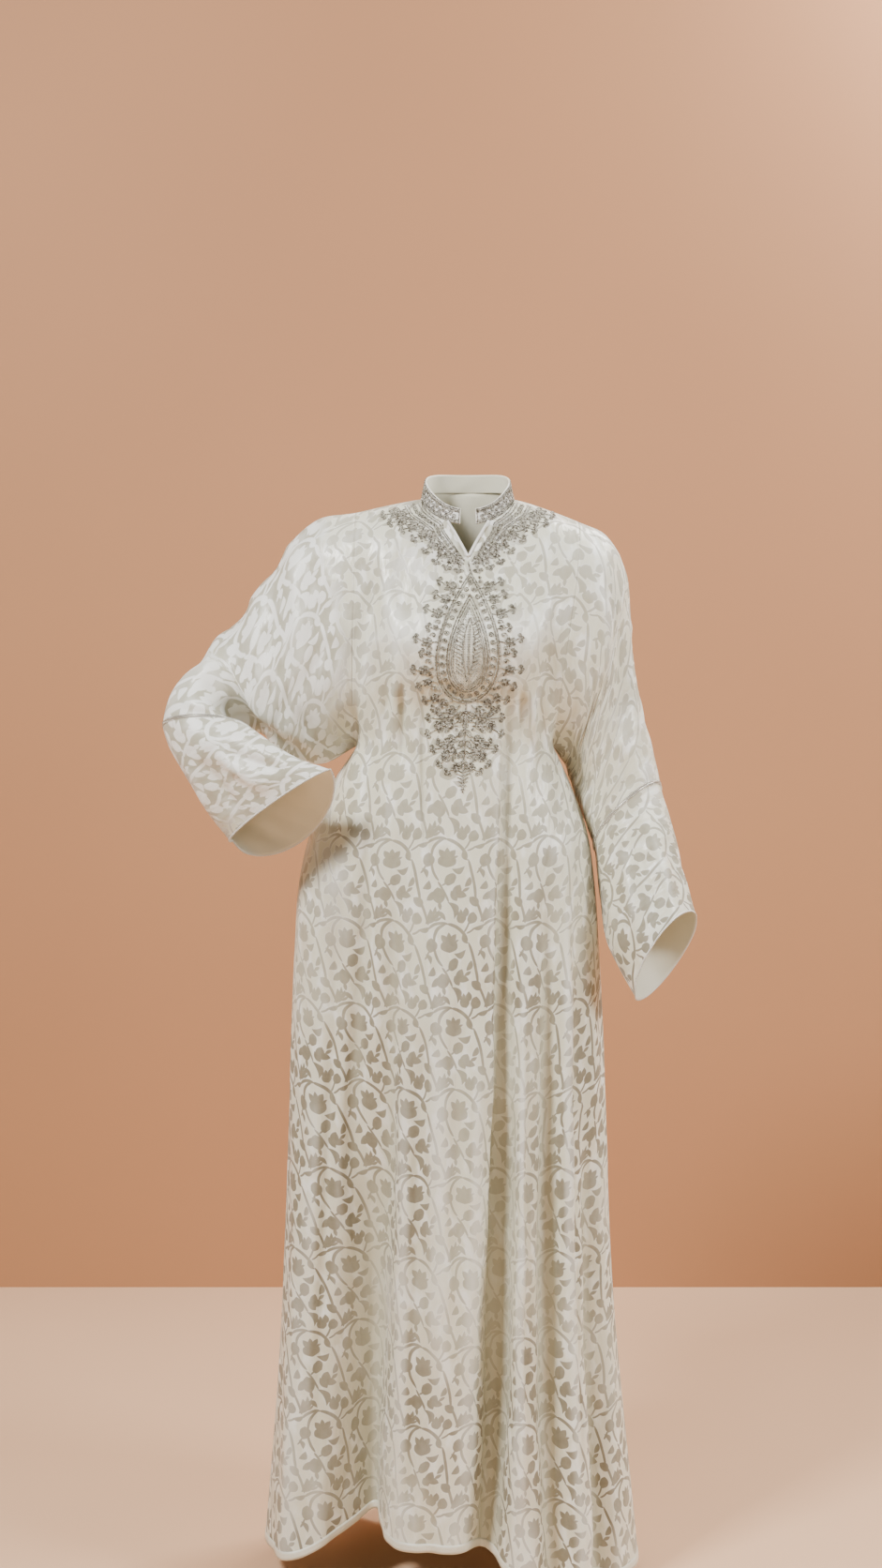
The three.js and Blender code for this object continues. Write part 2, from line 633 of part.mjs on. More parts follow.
// The turned hem is thicker by a fold of cloth
for (const grid of [frontGrid, backGrid]) {
  for (const line of grid.points.slice(-2)) for (const point of line) point.raise = HEM_RAISE;
}
const frontPanel = drawnIn(frontGrid, directionOf, { first: HALF_GAP, sides: HALF_GAP });
const backPanel = drawnIn(backGrid, directionOf, { first: HALF_GAP, sides: HALF_GAP });
addMesh("front", wallGeometry(frontPanel, directionOf, -CLOTH, 0), IVORY);
addMesh("back", wallGeometry(backPanel, directionOf, -CLOTH, 0), IVORY);
const sleeves = [
  { side: "right", sleeve: rightSleeve, cuff: rightCuff },
  { side: "left", sleeve: leftSleeve, cuff: leftCuff },
];
for (const { side, sleeve, cuff } of sleeves) {
  const upper = drawnIn(sleeve, directionOf, { first: ARMHOLE_GAP - HALF_GAP, last: SEAM_GAP });
  const lower = drawnIn(cuff, directionOf, { first: HALF_GAP });
  addMesh(`sleeve_${side}`, wallGeometry(upper, directionOf, -CLOTH, 0), IVORY);
  addMesh(`cuff_${side}`, wallGeometry(lower, directionOf, -CLOTH, 0), IVORY);
}
const standCollar = drawnIn(collar, directionOf, { first: WIDE_GAP - HALF_GAP });
addMesh("collar", wallGeometry(standCollar, directionOf, -COLLAR_WALL, 0), WHITE_SATIN);

// Narrow strips that lie on the cloth: rows of points at lengths up and down from a grid's row
const BRAID_HALF = 2;
const CUFF_BRAID_WIDTH = 4;
function stripGrid(pairs, flip, wrap) {
  const points = pairs.map((line) =>
    line.map(({ seam, toward, length }) => {
      const step = toward.clone().sub(seam).normalize();
      return Object.assign(seam.clone().addScaledVector(step, length), { seam });
    }),
  );
  return { points, flip, wrap };
}
for (const { side, sleeve, cuff } of sleeves) {
  const flip = side === "left";
  const seamRing = cuff.points[0];
  const above = sleeve.points[SLEEVE_RINGS - 1];
  const below = cuff.points[1];
  const seamBraid = stripGrid(
    [
      seamRing.map((seam, i) => ({ seam, toward: above[i], length: BRAID_HALF })),
      seamRing.map((seam, i) => ({ seam, toward: below[i], length: 0 })),
      seamRing.map((seam, i) => ({ seam, toward: below[i], length: BRAID_HALF })),
    ],
    flip,
    true,
  );
  const seamBraidWall = wallGeometry(seamBraid, directionOf, WIDE_GAP, WIDE_GAP + BRAID);
  addMesh(`seam_braid_${side}`, seamBraidWall, SILVER);
  const edge = cuff.points[CUFF_RINGS];
  const inside = cuff.points[CUFF_RINGS - 1];
  const cuffBraid = stripGrid(
    [
      edge.map((seam, i) => ({ seam, toward: inside[i], length: CUFF_BRAID_WIDTH })),
      edge.map((seam, i) => ({ seam, toward: inside[i], length: 0 })),
    ],
    flip,
    true,
  );
  const cuffBraidWall = wallGeometry(cuffBraid, directionOf, SEAM_GAP, SEAM_GAP + BRAID);
  addMesh(`cuff_braid_${side}`, cuffBraidWall, SILVER);
}

// Binding of the slit: down its right edge, round the tip and up its left edge
const BINDING_WIDTH = 5;
const BINDING_SETBACK = 0.4;
const slitRows = frontGrid.points.slice(0, SLIT.rows + 1);
const slitEdge = [
  ...slitRows.map((line) => ({ seam: line[FRONT_HALF - 1], toward: line[FRONT_HALF - 2] })),
  { seam: slitRows[SLIT.rows][FRONT_HALF], toward: frontGrid.points[SLIT.rows + 1][FRONT_HALF] },
  ...slitRows.map((line) => ({ seam: line[FRONT_HALF + 1], toward: line[FRONT_HALF + 2] })).reverse(),
];
const bindingGrid = stripGrid(
  [
    slitEdge.map((place) => ({ ...place, length: BINDING_WIDTH })),
    slitEdge.map((place) => ({ ...place, length: BINDING_SETBACK })),
  ],
  true,
  false,
);
const binding = wallGeometry(bindingGrid, directionOf, WIDE_GAP, WIDE_GAP + BRAID);
addMesh("keyhole_binding", binding, WHITE_SATIN);

// Solids for cutting the bead work to its outline
function solidOf(geometry) {
  const bare = new THREE.BufferGeometry();
  bare.setAttribute("position", geometry.getAttribute("position"));
  if (geometry.index) bare.setIndex(geometry.index);
  const merged = mergeVertices(bare, 1e-4);
  return new wasm.Manifold(
    new wasm.Mesh({
      numProp: 3,
      vertProperties: new Float32Array(merged.getAttribute("position").array),
      triVerts: new Uint32Array(merged.index.array),
    }),
  );
}
function geometryOf(solid) {
  const mesh = solid.getMesh();
  const geometry = new THREE.BufferGeometry();
  geometry.setAttribute("position", new THREE.BufferAttribute(mesh.vertProperties, 3));
  geometry.setIndex(new THREE.BufferAttribute(mesh.triVerts, 1));
  return geometry;
}

// A prism over an outline drawn in x and z, through the whole front
const CUTTER_DEPTH = 260;
function outlinePrism(corners) {
  const shape = new THREE.Shape(corners.map(([x, z]) => new THREE.Vector2(x, z)));
  const prism = new THREE.ExtrudeGeometry(shape, { depth: CUTTER_DEPTH, bevelEnabled: false });
  prism.rotateX(QUARTER_TURN);
  prism.translate(0, MIDDLE_Y, 0);
  return solidOf(prism);
}

// One side of an outline, from its top to its tip, with its lobes drawn round
function lobedEdge(rows) {
  const corners = [];
  for (let i = 0; i < rows.length - 1; i += 1) {
    const from = rows[i];
    const to = rows[i + 1];
    const run = new THREE.Vector2(to.half - from.half, to.drop - from.drop);
    const outward = new THREE.Vector2(run.y, -run.x).normalize();
    const steps = from.lobe > 0 ? LOBE_STEPS : 1;
    for (let step = 0; step < steps; step += 1) {
      const swell = from.lobe * Math.sin((HALF_TURN * step) / steps);
      const half = mix(from.half, to.half, step / steps) + swell * outward.x;
      const drop = mix(from.drop, to.drop, step / steps) + swell * outward.y;
      corners.push({ half, drop });
    }
  }
  corners.push(rows[rows.length - 1]);
  return corners;
}

// The front's own points as a cover that lies on it
function coverSolid(firstRow, lastRow, lift, thickness) {
  const rows = frontPanel.points.slice(firstRow, lastRow + 1);
  const grid = {
    points: rows,
    flip: false,
    wrap: false,
    keep: (row, column) => frontGrid.keep(row + firstRow, column),
  };
  return solidOf(wallGeometry(grid, directionOf, lift, lift + thickness));
}

const NECK_COVER_ROWS = 7;
const MEDALLION_COVER = { first: 3, last: ARMHOLE_ROWS + 4 };
const workLift = SEAM_GAP;
const medallionTop = MEDALLION_EDGE[0].drop;
const medallionTip = MEDALLION_EDGE[MEDALLION_EDGE.length - 1].drop;
const leanAt = (drop) =>
  mix(MEDALLION_LEAN.top, MEDALLION_LEAN.tip, (drop - medallionTop) / (medallionTip - medallionTop));
const medallionSide = lobedEdge(MEDALLION_EDGE);
const medallionPrism = outlinePrism([
  ...medallionSide.map(({ half, drop }) => [leanAt(drop) - half, -drop]),
  ...medallionSide.slice(0, -1).reverse().map(({ half, drop }) => [leanAt(drop) + half, -drop]),
]);
const medallion = coverSolid(MEDALLION_COVER.first, MEDALLION_COVER.last, workLift, BEAD_WORK)
  .intersect(medallionPrism);
addMesh("embroidery_medallion", geometryOf(medallion), PEWTER);

// The work round the neckline stays clear of the slit's binding
const ABOVE = 40;
const neckSide = lobedEdge(NECK_WORK_EDGE);
const neckReach = NECK_WORK_EDGE[0].half;
const neckOutline = [
  ...neckSide.map(({ half, drop }) => [-half, -drop]),
  ...[...neckSide].reverse().map(({ half, drop }) => [half, -drop]),
  [neckReach, ABOVE],
  [-neckReach, ABOVE],
];
const slitSide = frontGrid.points
  .slice(0, SLIT.rows + 1)
  .map((line) => line[FRONT_HALF + 1])
  .map((point) => [point.x + NECK_WORK.slitMargin, point.z]);
const slitFoot = [0, slitSide[SLIT.rows][1] - NECK_WORK.footMargin];
const slitOutline = [
  [-slitSide[0][0], ABOVE],
  ...slitSide.map(([x, z]) => [-x, z]),
  slitFoot,
  ...[...slitSide].reverse(),
  [slitSide[0][0], ABOVE],
];
const neckCover = coverSolid(0, NECK_COVER_ROWS, NECK_WORK_LIFT, BEAD_WORK);
const neckWork = neckCover.intersect(outlinePrism(neckOutline)).subtract(outlinePrism(slitOutline));
addMesh("embroidery_neck", geometryOf(neckWork), PEWTER);

// The teardrop band, a thicker cord of beads on the medallion: its outer edge, and its inner edge
// where inset is 1
function teardropOutline(inset) {
  const corners = [];
  const foot = TEARDROP.foot - inset * TEARDROP.band;
  const apex = TEARDROP.apex + inset * TEARDROP.apexBand;
  const half = TEARDROP.half - inset * TEARDROP.band;
  for (let i = 0; i < TEARDROP.corners; i += 1) {
    const turn = (2 * HALF_TURN * i) / TEARDROP.corners;
    const drop = mix(foot, apex, (1 + Math.cos(turn)) / 2);
    const taper = Math.sin(turn) * Math.sin(turn / 2);
    corners.push([leanAt(drop) - half * TEARDROP.fullness * taper, -drop]);
  }
  return corners;
}
const teardropLift = workLift + BEAD_WORK + SEAM_GAP;
const teardropCover = coverSolid(MEDALLION_COVER.first, MEDALLION_COVER.last, teardropLift, TEARDROP_WALL);
const teardrop = teardropCover
  .intersect(outlinePrism(teardropOutline(0)))
  .subtract(outlinePrism(teardropOutline(1)));
addMesh("embroidery_teardrop", geometryOf(teardrop), SILVER);

export default model;
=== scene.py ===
import math

import bmesh
import bpy
import numpy as np
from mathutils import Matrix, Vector, noise
from mathutils.bvhtree import BVHTree


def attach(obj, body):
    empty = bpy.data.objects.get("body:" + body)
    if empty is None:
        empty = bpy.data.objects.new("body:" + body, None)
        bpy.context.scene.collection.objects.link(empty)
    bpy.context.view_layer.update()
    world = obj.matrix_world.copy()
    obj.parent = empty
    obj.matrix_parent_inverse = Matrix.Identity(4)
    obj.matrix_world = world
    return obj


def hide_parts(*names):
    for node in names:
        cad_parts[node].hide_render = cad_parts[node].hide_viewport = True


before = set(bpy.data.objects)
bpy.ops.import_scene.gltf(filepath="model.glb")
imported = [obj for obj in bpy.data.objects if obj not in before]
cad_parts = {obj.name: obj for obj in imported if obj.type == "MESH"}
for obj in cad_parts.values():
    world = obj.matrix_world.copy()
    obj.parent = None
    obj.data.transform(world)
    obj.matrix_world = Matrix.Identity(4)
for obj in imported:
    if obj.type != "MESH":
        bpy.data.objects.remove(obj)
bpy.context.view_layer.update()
MM = 0.001

# Camera, floor and light: a standing view from shoulder height, a pale floor under the hem and a warm
# wall behind it, which shows from the front alone and hides nothing in the other views. One lamp stands
# at the front left, a weaker one at the front right, and one behind lights the edges.
CAMERA_PLACE = (-0.036, -2.9, -0.18)
CAMERA_PITCH = 4.0
CAMERA_LENS = 48.79
SENSOR_HEIGHT = 36.0
FLOOR_DROP, FLOOR_REACH = 1.49, 6
WALL_Y, WALL_TOP = 1.3, 3
CORNERS = ((0, 0), (1, 0), (1, 1), (0, 1))
FLOOR_LIGHT = (0.76, 0.5, 0.31, 1)
FLOOR_DARK = (0.68, 0.43, 0.26, 1)
WALL_LIGHT = (0.52, 0.25, 0.115, 1)
WALL_DARK = (0.41, 0.19, 0.085, 1)
STUDIO_COLOUR = (0.88, 0.92, 0.84, 1)
STUDIO_STRENGTH = 0.25
LAMP_AIM = (0, 0, -0.6)

camera = bpy.data.objects.new("camera", bpy.data.cameras.new("camera"))
camera.data.sensor_fit = "VERTICAL"
camera.data.sensor_height = SENSOR_HEIGHT
camera.data.lens = CAMERA_LENS
camera.location = CAMERA_PLACE
camera.rotation_euler = (math.radians(90 - CAMERA_PITCH), 0, 0)
bpy.context.scene.collection.objects.link(camera)
bpy.context.scene.camera = camera


class Value:
    """An output socket of a material; Python's operators add Math nodes to it."""

    def __init__(self, look, socket):
        self.look = look
        self.socket = socket

    def __add__(self, other):
        return self.look.math("ADD", self, other)

    def __rsub__(self, other):
        return self.look.math("SUBTRACT", other, self)

    def __mul__(self, other):
        return self.look.math("MULTIPLY", self, other)

    def __truediv__(self, other):
        return self.look.math("DIVIDE", self, other)

    def __pow__(self, other):
        return self.look.math("POWER", self, other)

    __radd__ = __add__
    __rmul__ = __mul__


class Look:
    """A material and the nodes that make its finish."""

    def __init__(self, name):
        self.material = bpy.data.materials.new(name)
        self.material.use_nodes = True
        self.tree = self.material.node_tree
        self.tree.nodes.clear()

    def node(self, kind, settings=None, sockets=None, output=0):
        made = self.tree.nodes.new(kind)
        for key, value in (settings or {}).items():
            setattr(made, key, value)
        for key, value in (sockets or {}).items():
            if isinstance(value, Value):
                self.tree.links.new(value.socket, made.inputs[key])
            else:
                made.inputs[key].default_value = value
        return Value(self, made.outputs[output])

    def math(self, operation, first, second=0.0, clamp=False):
        settings = {"operation": operation, "use_clamp": clamp}
        return self.node("ShaderNodeMath", settings, {0: first, 1: second})

    def math3(self, operation, first, second, third, clamp=False):
        settings = {"operation": operation, "use_clamp": clamp}
        return self.node("ShaderNodeMath", settings, {0: first, 1: second, 2: third})

    def blend(self, share, first, second):
        settings = {"data_type": "RGBA"}
        return self.node("ShaderNodeMix", settings, {0: share, 6: first, 7: second}, output=2)

    def noise(self, place, scale, detail=2.0, stretch=(1, 1, 1)):
        settings = {"vector_type": "POINT"}
        moved = self.node("ShaderNodeMapping", settings, {"Vector": place, "Scale": stretch})
        return self.node("ShaderNodeTexNoise", {}, {"Vector": moved, "Scale": scale, "Detail": detail})

    def ramp(self, value, start, end, low, high):
        """A smooth step of a value from low to high."""
        settings = {"interpolation_type": "SMOOTHSTEP"}
        return self.node("ShaderNodeMapRange", settings, {0: value, 1: start, 2: end, 3: low, 4: high})

    def bump(self, height, distance, strength=1.0, normal=None):
        sockets = {"Height": height, "Distance": distance, "Strength": strength}
        if normal:
            sockets["Normal"] = normal
        return self.node("ShaderNodeBump", {}, sockets)

    def split(self, vector):
        """The three numbers of a vector."""
        made = self.tree.nodes.new("ShaderNodeSeparateXYZ")
        self.tree.links.new(vector.socket, made.inputs[0])
        return [Value(self, socket) for socket in made.outputs]

    def object_place(self):
        return self.node("ShaderNodeTexCoord", {}, {}, output=3)

    def finish(self, **sockets):
        names = {key.replace("_", " ").title(): value for key, value in sockets.items()}
        shader = self.node("ShaderNodeBsdfPrincipled", {}, names)
        surface = self.tree.nodes.new("ShaderNodeOutputMaterial").inputs["Surface"]
        self.tree.links.new(shader.socket, surface)
        return self.material


def add_mesh(name, points, faces, material):
    mesh = bpy.data.meshes.new(name)
    mesh.from_pydata([tuple(p) for p in points], [], [tuple(f) for f in faces])
    piece = bpy.data.objects.new(name, mesh)
    bpy.context.scene.collection.objects.link(piece)
    mesh.materials.append(material)
    return piece


floor_look = Look("pale floor")
floor_tone = floor_look.noise(floor_look.object_place(), 1.3, 3.0)
floor_colour = floor_look.blend(floor_tone, FLOOR_LIGHT, FLOOR_DARK)
floor_finish = floor_look.finish(base_color=floor_colour, roughness=0.5)
ends = (-FLOOR_REACH, FLOOR_REACH)
floor_corners = [(ends[i], ends[j], -FLOOR_DROP) for i, j in CORNERS]
floor = add_mesh("floor", floor_corners, [(0, 1, 2, 3)], floor_finish)
wall_look = Look("warm wall")
wall_tone = wall_look.noise(wall_look.object_place(), 0.8, 2.0)
wall_colour = wall_look.blend(wall_tone, WALL_LIGHT, WALL_DARK)
wall_finish = wall_look.finish(base_color=wall_colour, roughness=0.7)
behind = wall_look.node("ShaderNodeNewGeometry", {}, {}, output=6)
clear = wall_look.node("ShaderNodeBsdfTransparent")
painted = Value(wall_look, wall_look.tree.nodes["Principled BSDF"].outputs[0])
one_sided = wall_look.node("ShaderNodeMixShader", {}, {0: behind, 1: painted, 2: clear})
wall_look.tree.links.new(one_sided.socket, wall_look.tree.nodes["Material Output"].inputs["Surface"])
heights = (-FLOOR_DROP, WALL_TOP)
wall_corners = [(ends[i], WALL_Y, heights[j]) for i, j in CORNERS]
wall = add_mesh("backdrop", wall_corners, [(0, 1, 2, 3)], wall_finish)

world = bpy.data.worlds.new("studio")
world.use_nodes = True
world.node_tree.nodes["Background"].inputs["Color"].default_value = STUDIO_COLOUR
world.node_tree.nodes["Background"].inputs["Strength"].default_value = STUDIO_STRENGTH
bpy.context.scene.world = world
LAMPS = [
    # name, place, size, watts
    ("key", (-1.6, -1.7, 1.7), 0.55, 150),
    ("fill", (2.4, -1.2, 0.7), 0.8, 75),
    ("back", (1.4, 1.15, 1.4), 0.9, 120),
]
for name, place, size, watts in LAMPS:
    lamp = bpy.data.objects.new(name, bpy.data.lights.new(name, "AREA"))
    lamp.data.size = size
    lamp.data.energy = watts
    lamp.location = place
    aim = Vector(LAMP_AIM) - Vector(place)
    lamp.rotation_euler = aim.to_track_quat("-Z", "Y").to_euler()
    bpy.context.scene.collection.objects.link(lamp)


# Front panel: cut in one width of satin from the shoulders to the hem, with a slit at the neck.
# It hangs in large soft folds from gathers under the bust; the hem is a narrow turned band.
MIDDLE_Y = 5
NECK_SIDE, NECK_DEPTH, NECK_RISE, NECK_FALL, NECK_CURVE = 62, 62, 4, 24.5, 12.5
SHOULDER_X, SHOULDER_CURVE = 150, 1.2
SHOULDER_DROP = {-1: 14, 1: 26}
UNDERARM_DROP = 330
SHOULDER_ROUND = 74
SLIT_HALF, SLIT_TIP, SLIT_ROWS, SLIT_CURVE = 27, 1.0, 3, 1.2
ARMHOLE_ROWS, SKIRT_ROWS, SHOULDER_COLUMNS = 14, 22, 7
FRONT_HALF, BACK_HALF = 18, 12
HEM_DROP, HEM_BAND = 1412, 22
FOLD_RADIUS, FOLD_SIDEWAYS, FOLD_REACH = 0.82, 0.6, 0.97
# drop; how far out the middle and the armhole edge of the front, then of the back, stand
CHEST = [
    (-20, 58, 50, 58, 52),
    (30, 64, 58, 70, 60),
    (76, 82, 66, 86, 68),
    (130, 108, 74, 98, 74),
    (185, 128, 77, 101, 76),
    (235, 122, 74, 96, 72),
    (275, 106, 56, 89, 56),
    (330, 106, 0, 86, 0),
]
FULLNESS = {"x": 68, "drop": 190, "width": 52, "height": 62, "out": 13}
# drop, middle, half width, depth to the front, depth to the back
SKIRT = [
    (330, -17, 133, 106, 86),
    (382, -22, 163, 113, 92),
    (446, -25, 189, 122, 105),
    (517, -28, 203, 129, 118),
    (600, -28, 209, 133, 126),
    (725, -27, 215, 137, 133),
    (990, -27, 225, 142, 150),
    (1120, -26, 232, 144, 160),
    (1255, -24, 243, 147, 170),
    (1475, -22, 264, 152, 188),
]
# degrees from the front, + to the wearer's left; the hem's drop there
HEM = [
    (-180, 1452),
    (-120, 1450),
    (-78, 1439),
    (-52, 1432),
    (-33, 1386),
    (-22, 1398),
    (-8, 1398),
    (7, 1403),
    (18, 1430),
    (45, 1462),
    (80, 1470),
    (130, 1462),
    (180, 1452),
]
# face, place across at its start and at the hem, drop of its start and where it is full,
# width to the wearer's right and left, how far out
FOLDS = [
    (1, -138, -166, 420, 1400, 34, 40, -104),
    (1, -205, -240, 520, 1400, 34, 26, 20),
    (1, -70, -62, 360, 1200, 40, 60, 10),
    (1, 56, 24, 300, 1250, 18, 16, -42),
    (1, 62, 66, 330, 1250, 22, 40, 30),
    (1, 104, 112, 420, 1300, 18, 20, -24),
    (1, 135, 150, 480, 1300, 24, 26, 22),
    (1, 158, 186, 620, 1350, 18, 20, -30),
    (1, -58, -52, 290, 400, 9, 9, -4),
    (-1, -165, -195, 500, 1350, 30, 26, -34),
    (-1, -120, -140, 450, 1350, 30, 30, 26),
    (-1, -70, -92, 400, 1300, 26, 22, -40),
    (-1, -20, -28, 380, 1300, 34, 34, 24),
    (-1, 30, 34, 400, 1300, 22, 26, -42),
    (-1, 76, 92, 430, 1350, 30, 28, 26),
    (-1, 118, 148, 520, 1350, 24, 26, -30),
]
DEEP_FOLD, DEEP_CLOSER, DEEP_SPREAD, TURN_STEPS = -20, 1.1, 1.6, 360
ROWS_EVEN, ROWS_EASED, SKIRT_GROWTH = 0.45, 0.275, 1.08
EDGE_FLATNESS, EDGE_ROUNDNESS, ROUND_DROP = 1.25, 0.5, 150


def mix(first, second, share):
    return first + (second - first) * share


def smooth(value):
    t = np.clip(value, 0, 1)
    return t * t * (3 - 2 * t)


def read(table, at):
    """The columns of a table after its first, at a place along the first, on a smooth curve."""
    rows = np.array(table, float)
    at = np.asarray(at, float)
    first = np.clip(np.searchsorted(rows[:, 0], at, side="left") - 1, 0, len(rows) - 2)
    before, start = rows[np.maximum(first - 1, 0)], rows[first]
    end, after = rows[first + 1], rows[np.minimum(first + 2, len(rows) - 1)]
    span = (end - start)[..., :1]
    t = np.clip((at[..., None] - start[..., :1]) / span, 0, 1)
    start_slope = (end - before) / (end - before)[..., :1] * span
    end_slope = (after - start) / (after - start)[..., :1] * span
    value = (2 * t**3 - 3 * t**2 + 1) * start + (t**3 - 2 * t**2 + t) * start_slope
    value += (3 * t**2 - 2 * t**3) * end + (t**3 - t**2) * end_slope
    return np.moveaxis(value, -1, 0)[1:]


def neck_point(turn):
    fore = np.cos(turn)
    z = NECK_RISE - NECK_FALL * fore - NECK_CURVE * fore * fore
    return np.stack([NECK_SIDE * np.sin(turn), MIDDLE_Y - NECK_DEPTH * fore, z], -1)


def row_share(row):
    share = row / ARMHOLE_ROWS
    return ROWS_EVEN * share + ROWS_EASED * (1 - np.cos(math.pi * share))


def fold_turn(fold, middle, side, drop):
    _, start_x, hem_x, start = fold[:4]
    share = np.clip((drop - start) / (HEM_DROP - start), 0, 1)
    across = np.clip((mix(start_x, hem_x, share) - middle) / side, -FOLD_REACH, FOLD_REACH)
    turn = np.arcsin(across)
    return turn if fold[0] > 0 else math.pi - turn


def fold_growth(fold, drop):
    return smooth((drop - fold[3]) / (fold[4] - fold[3]))


def skirt_point(turn, drop):
    middle, side, front, back = read(SKIRT, drop)
    depth = np.where(np.cos(turn) > 0, front, back)
    out = np.zeros(np.broadcast(turn, drop).shape)
    for fold in FOLDS:
        away = turn - fold_turn(fold, middle, side, drop)
        away = np.arctan2(np.sin(away), np.cos(away)) * FOLD_RADIUS * side
        to_left = away > 0 if fold[0] > 0 else away < 0
        width = np.where(to_left, fold[6], fold[5])
        out = out + fold[7] * fold_growth(fold, drop) * np.exp(-((away / width) ** 2))
    x = middle + (side + FOLD_SIDEWAYS * out) * np.sin(turn)
    y = MIDDLE_Y - (depth + out) * np.cos(turn)
    return np.stack([x, y, np.broadcast_to(-drop, x.shape)], -1)


def column_turns(face, half, drop):
    middle, side, _, _ = read(SKIRT, drop)
    edges = np.linspace(-math.pi / 2, math.pi / 2, TURN_STEPS + 1)
    centres = (edges[1:] + edges[:-1]) / 2
    density = np.ones(len(centres))
    for fold in FOLDS:
        if fold[0] != face or fold[7] >= DEEP_FOLD:
            continue
        place = fold_turn(fold, middle, side, drop) - (0 if face > 0 else math.pi)
        width = DEEP_SPREAD * (fold[5] + fold[6]) / side
        near = np.exp(-(((centres - place) / width) ** 2))
        density += DEEP_CLOSER * fold_growth(fold, drop) * near
    sums = np.concatenate([[0], np.cumsum(density)])
    wanted = np.linspace(0, sums[-1], 2 * half + 1)
    return np.interp(wanted, sums, edges) + (0 if face > 0 else math.pi)


def top_point(face, half, column):
    side = np.where(column < 0, -1.0, 1.0)
    away = np.abs(column)
    neck_columns = half - SHOULDER_COLUMNS
    share = np.clip((away - neck_columns) / SHOULDER_COLUMNS, 0, 1)
    drop = np.where(side < 0, SHOULDER_DROP[-1], SHOULDER_DROP[1])
    shoulder = np.stack(
        [
            side * mix(NECK_SIDE, SHOULDER_X, share),
            np.full(share.shape, MIDDLE_Y),
            mix(NECK_RISE, -drop, share**SHOULDER_CURVE),
        ],
        -1,
    )
    if face > 0:
        slit_turn = math.asin(SLIT_HALF / NECK_SIDE)
        past = (away - 1) / (neck_columns - 1)
        turn = np.where(away < 1, slit_turn * away, mix(slit_turn, math.pi / 2, past))
    else:
        turn = math.pi - away / neck_columns * math.pi / 2
    neck = neck_point(side * turn)
    return np.where((away >= neck_columns)[..., None], shoulder, neck)


def chest_point(face, half, column, row):
    share = row_share(row)
    settle = smooth(share)
    side = np.where(column < 0, -1.0, 1.0)
    top = top_point(face, half, column)
    turns = column_turns(face, half, UNDERARM_DROP)

    def foot_x(at):
        turn = np.interp(half + face * at, np.arange(2 * half + 1), turns)
        return skirt_point(turn, np.full(turn.shape, float(UNDERARM_DROP)))[..., 0]

    ring_middle, ring_side, _, _ = read(SKIRT, UNDERARM_DROP)
    z = mix(top[..., 2], -UNDERARM_DROP, share)
    middle = ring_middle * share
    x = mix(top[..., 0], foot_x(column), settle)
    if face > 0:
        below = (row - SLIT_ROWS) / (ARMHOLE_ROWS - SLIT_ROWS)
        slit = mix(SLIT_HALF, SLIT_TIP, np.clip(row / SLIT_ROWS, 0, 1) ** SLIT_CURVE)
        opened = mix(side * SLIT_TIP, foot_x(side), smooth(2 * below))
        first = np.where(row <= SLIT_ROWS, side * slit, opened)
        second = mix(top_point(face, half, 2 * side)[..., 0], foot_x(2 * side), settle)
        centre = foot_x(0 * side) * settle
        away = np.abs(column)
        x = np.where(away < 2, mix(first, second, away - 1), x)
        x = np.where(away < 1, mix(centre, first, away), x)
    edge = mix(side * SHOULDER_X, ring_middle + side * ring_side, settle)
    across = np.minimum(1, np.abs((x - middle) / (edge - middle)))
    front, front_edge, back, back_edge = read(CHEST, -z)
    full, at_edge = (front, front_edge) if face > 0 else (back, back_edge)
    soften = mix(EDGE_ROUNDNESS, EDGE_FLATNESS, smooth((UNDERARM_DROP + z) / ROUND_DROP))
    out = at_edge + (full - at_edge) * (1 - across * across) ** soften
    if face > 0:
        for half_side in (-1, 1):
            dx = (x - middle - half_side * FULLNESS["x"]) / FULLNESS["width"]
            dz = (-z - FULLNESS["drop"]) / FULLNESS["height"]
            out = out + FULLNESS["out"] * np.exp(-dx * dx - dz * dz)
    fall = np.clip((top[..., 2] - z) / SHOULDER_ROUND, 0, 1)
    around = np.sqrt(1 - (1 - fall) ** 2)
    return np.stack([x, mix(top[..., 1], MIDDLE_Y - face * out, around), z], -1)


CHEST_STEPS, SKIRT_STEPS = 72, 120
armhole_rows = ARMHOLE_ROWS * (1 - np.cos(math.pi * np.linspace(0, 1, CHEST_STEPS + 1))) / 2
armhole_rows[np.argmin(np.abs(armhole_rows - SLIT_ROWS))] = SLIT_ROWS


def skirt_rows(face, half, index):
    """The rows of a panel below the underarm, down to the hem."""
    lines = []
    level = read(HEM, 0.0)[0]
    for step in SKIRT_ROWS * np.arange(1, SKIRT_STEPS + 1) / SKIRT_STEPS:
        share = min(step / (SKIRT_ROWS - 1), 1) ** SKIRT_GROWTH
        last = max(0, step - SKIRT_ROWS + 1)
        level_drop = mix(UNDERARM_DROP, level - HEM_BAND, share) + last * HEM_BAND
        turns = np.interp(index, np.arange(2 * half + 1), column_turns(face, half, level_drop))
        degrees = np.degrees(np.arctan2(np.sin(turns), np.cos(turns)))
        hem = read(HEM, degrees)[0]
        drop = mix(UNDERARM_DROP, hem - HEM_BAND, share) + last * HEM_BAND
        lines.append(skirt_point(turns, drop))
    return np.array(lines)


def panel(face, half, columns):
    index = np.linspace(0, 2 * half, columns + 1)
    column = face * (index - half)
    chest = chest_point(face, half, column[None, :], armhole_rows[:, None])
    return np.concatenate([chest, skirt_rows(face, half, index)]), index


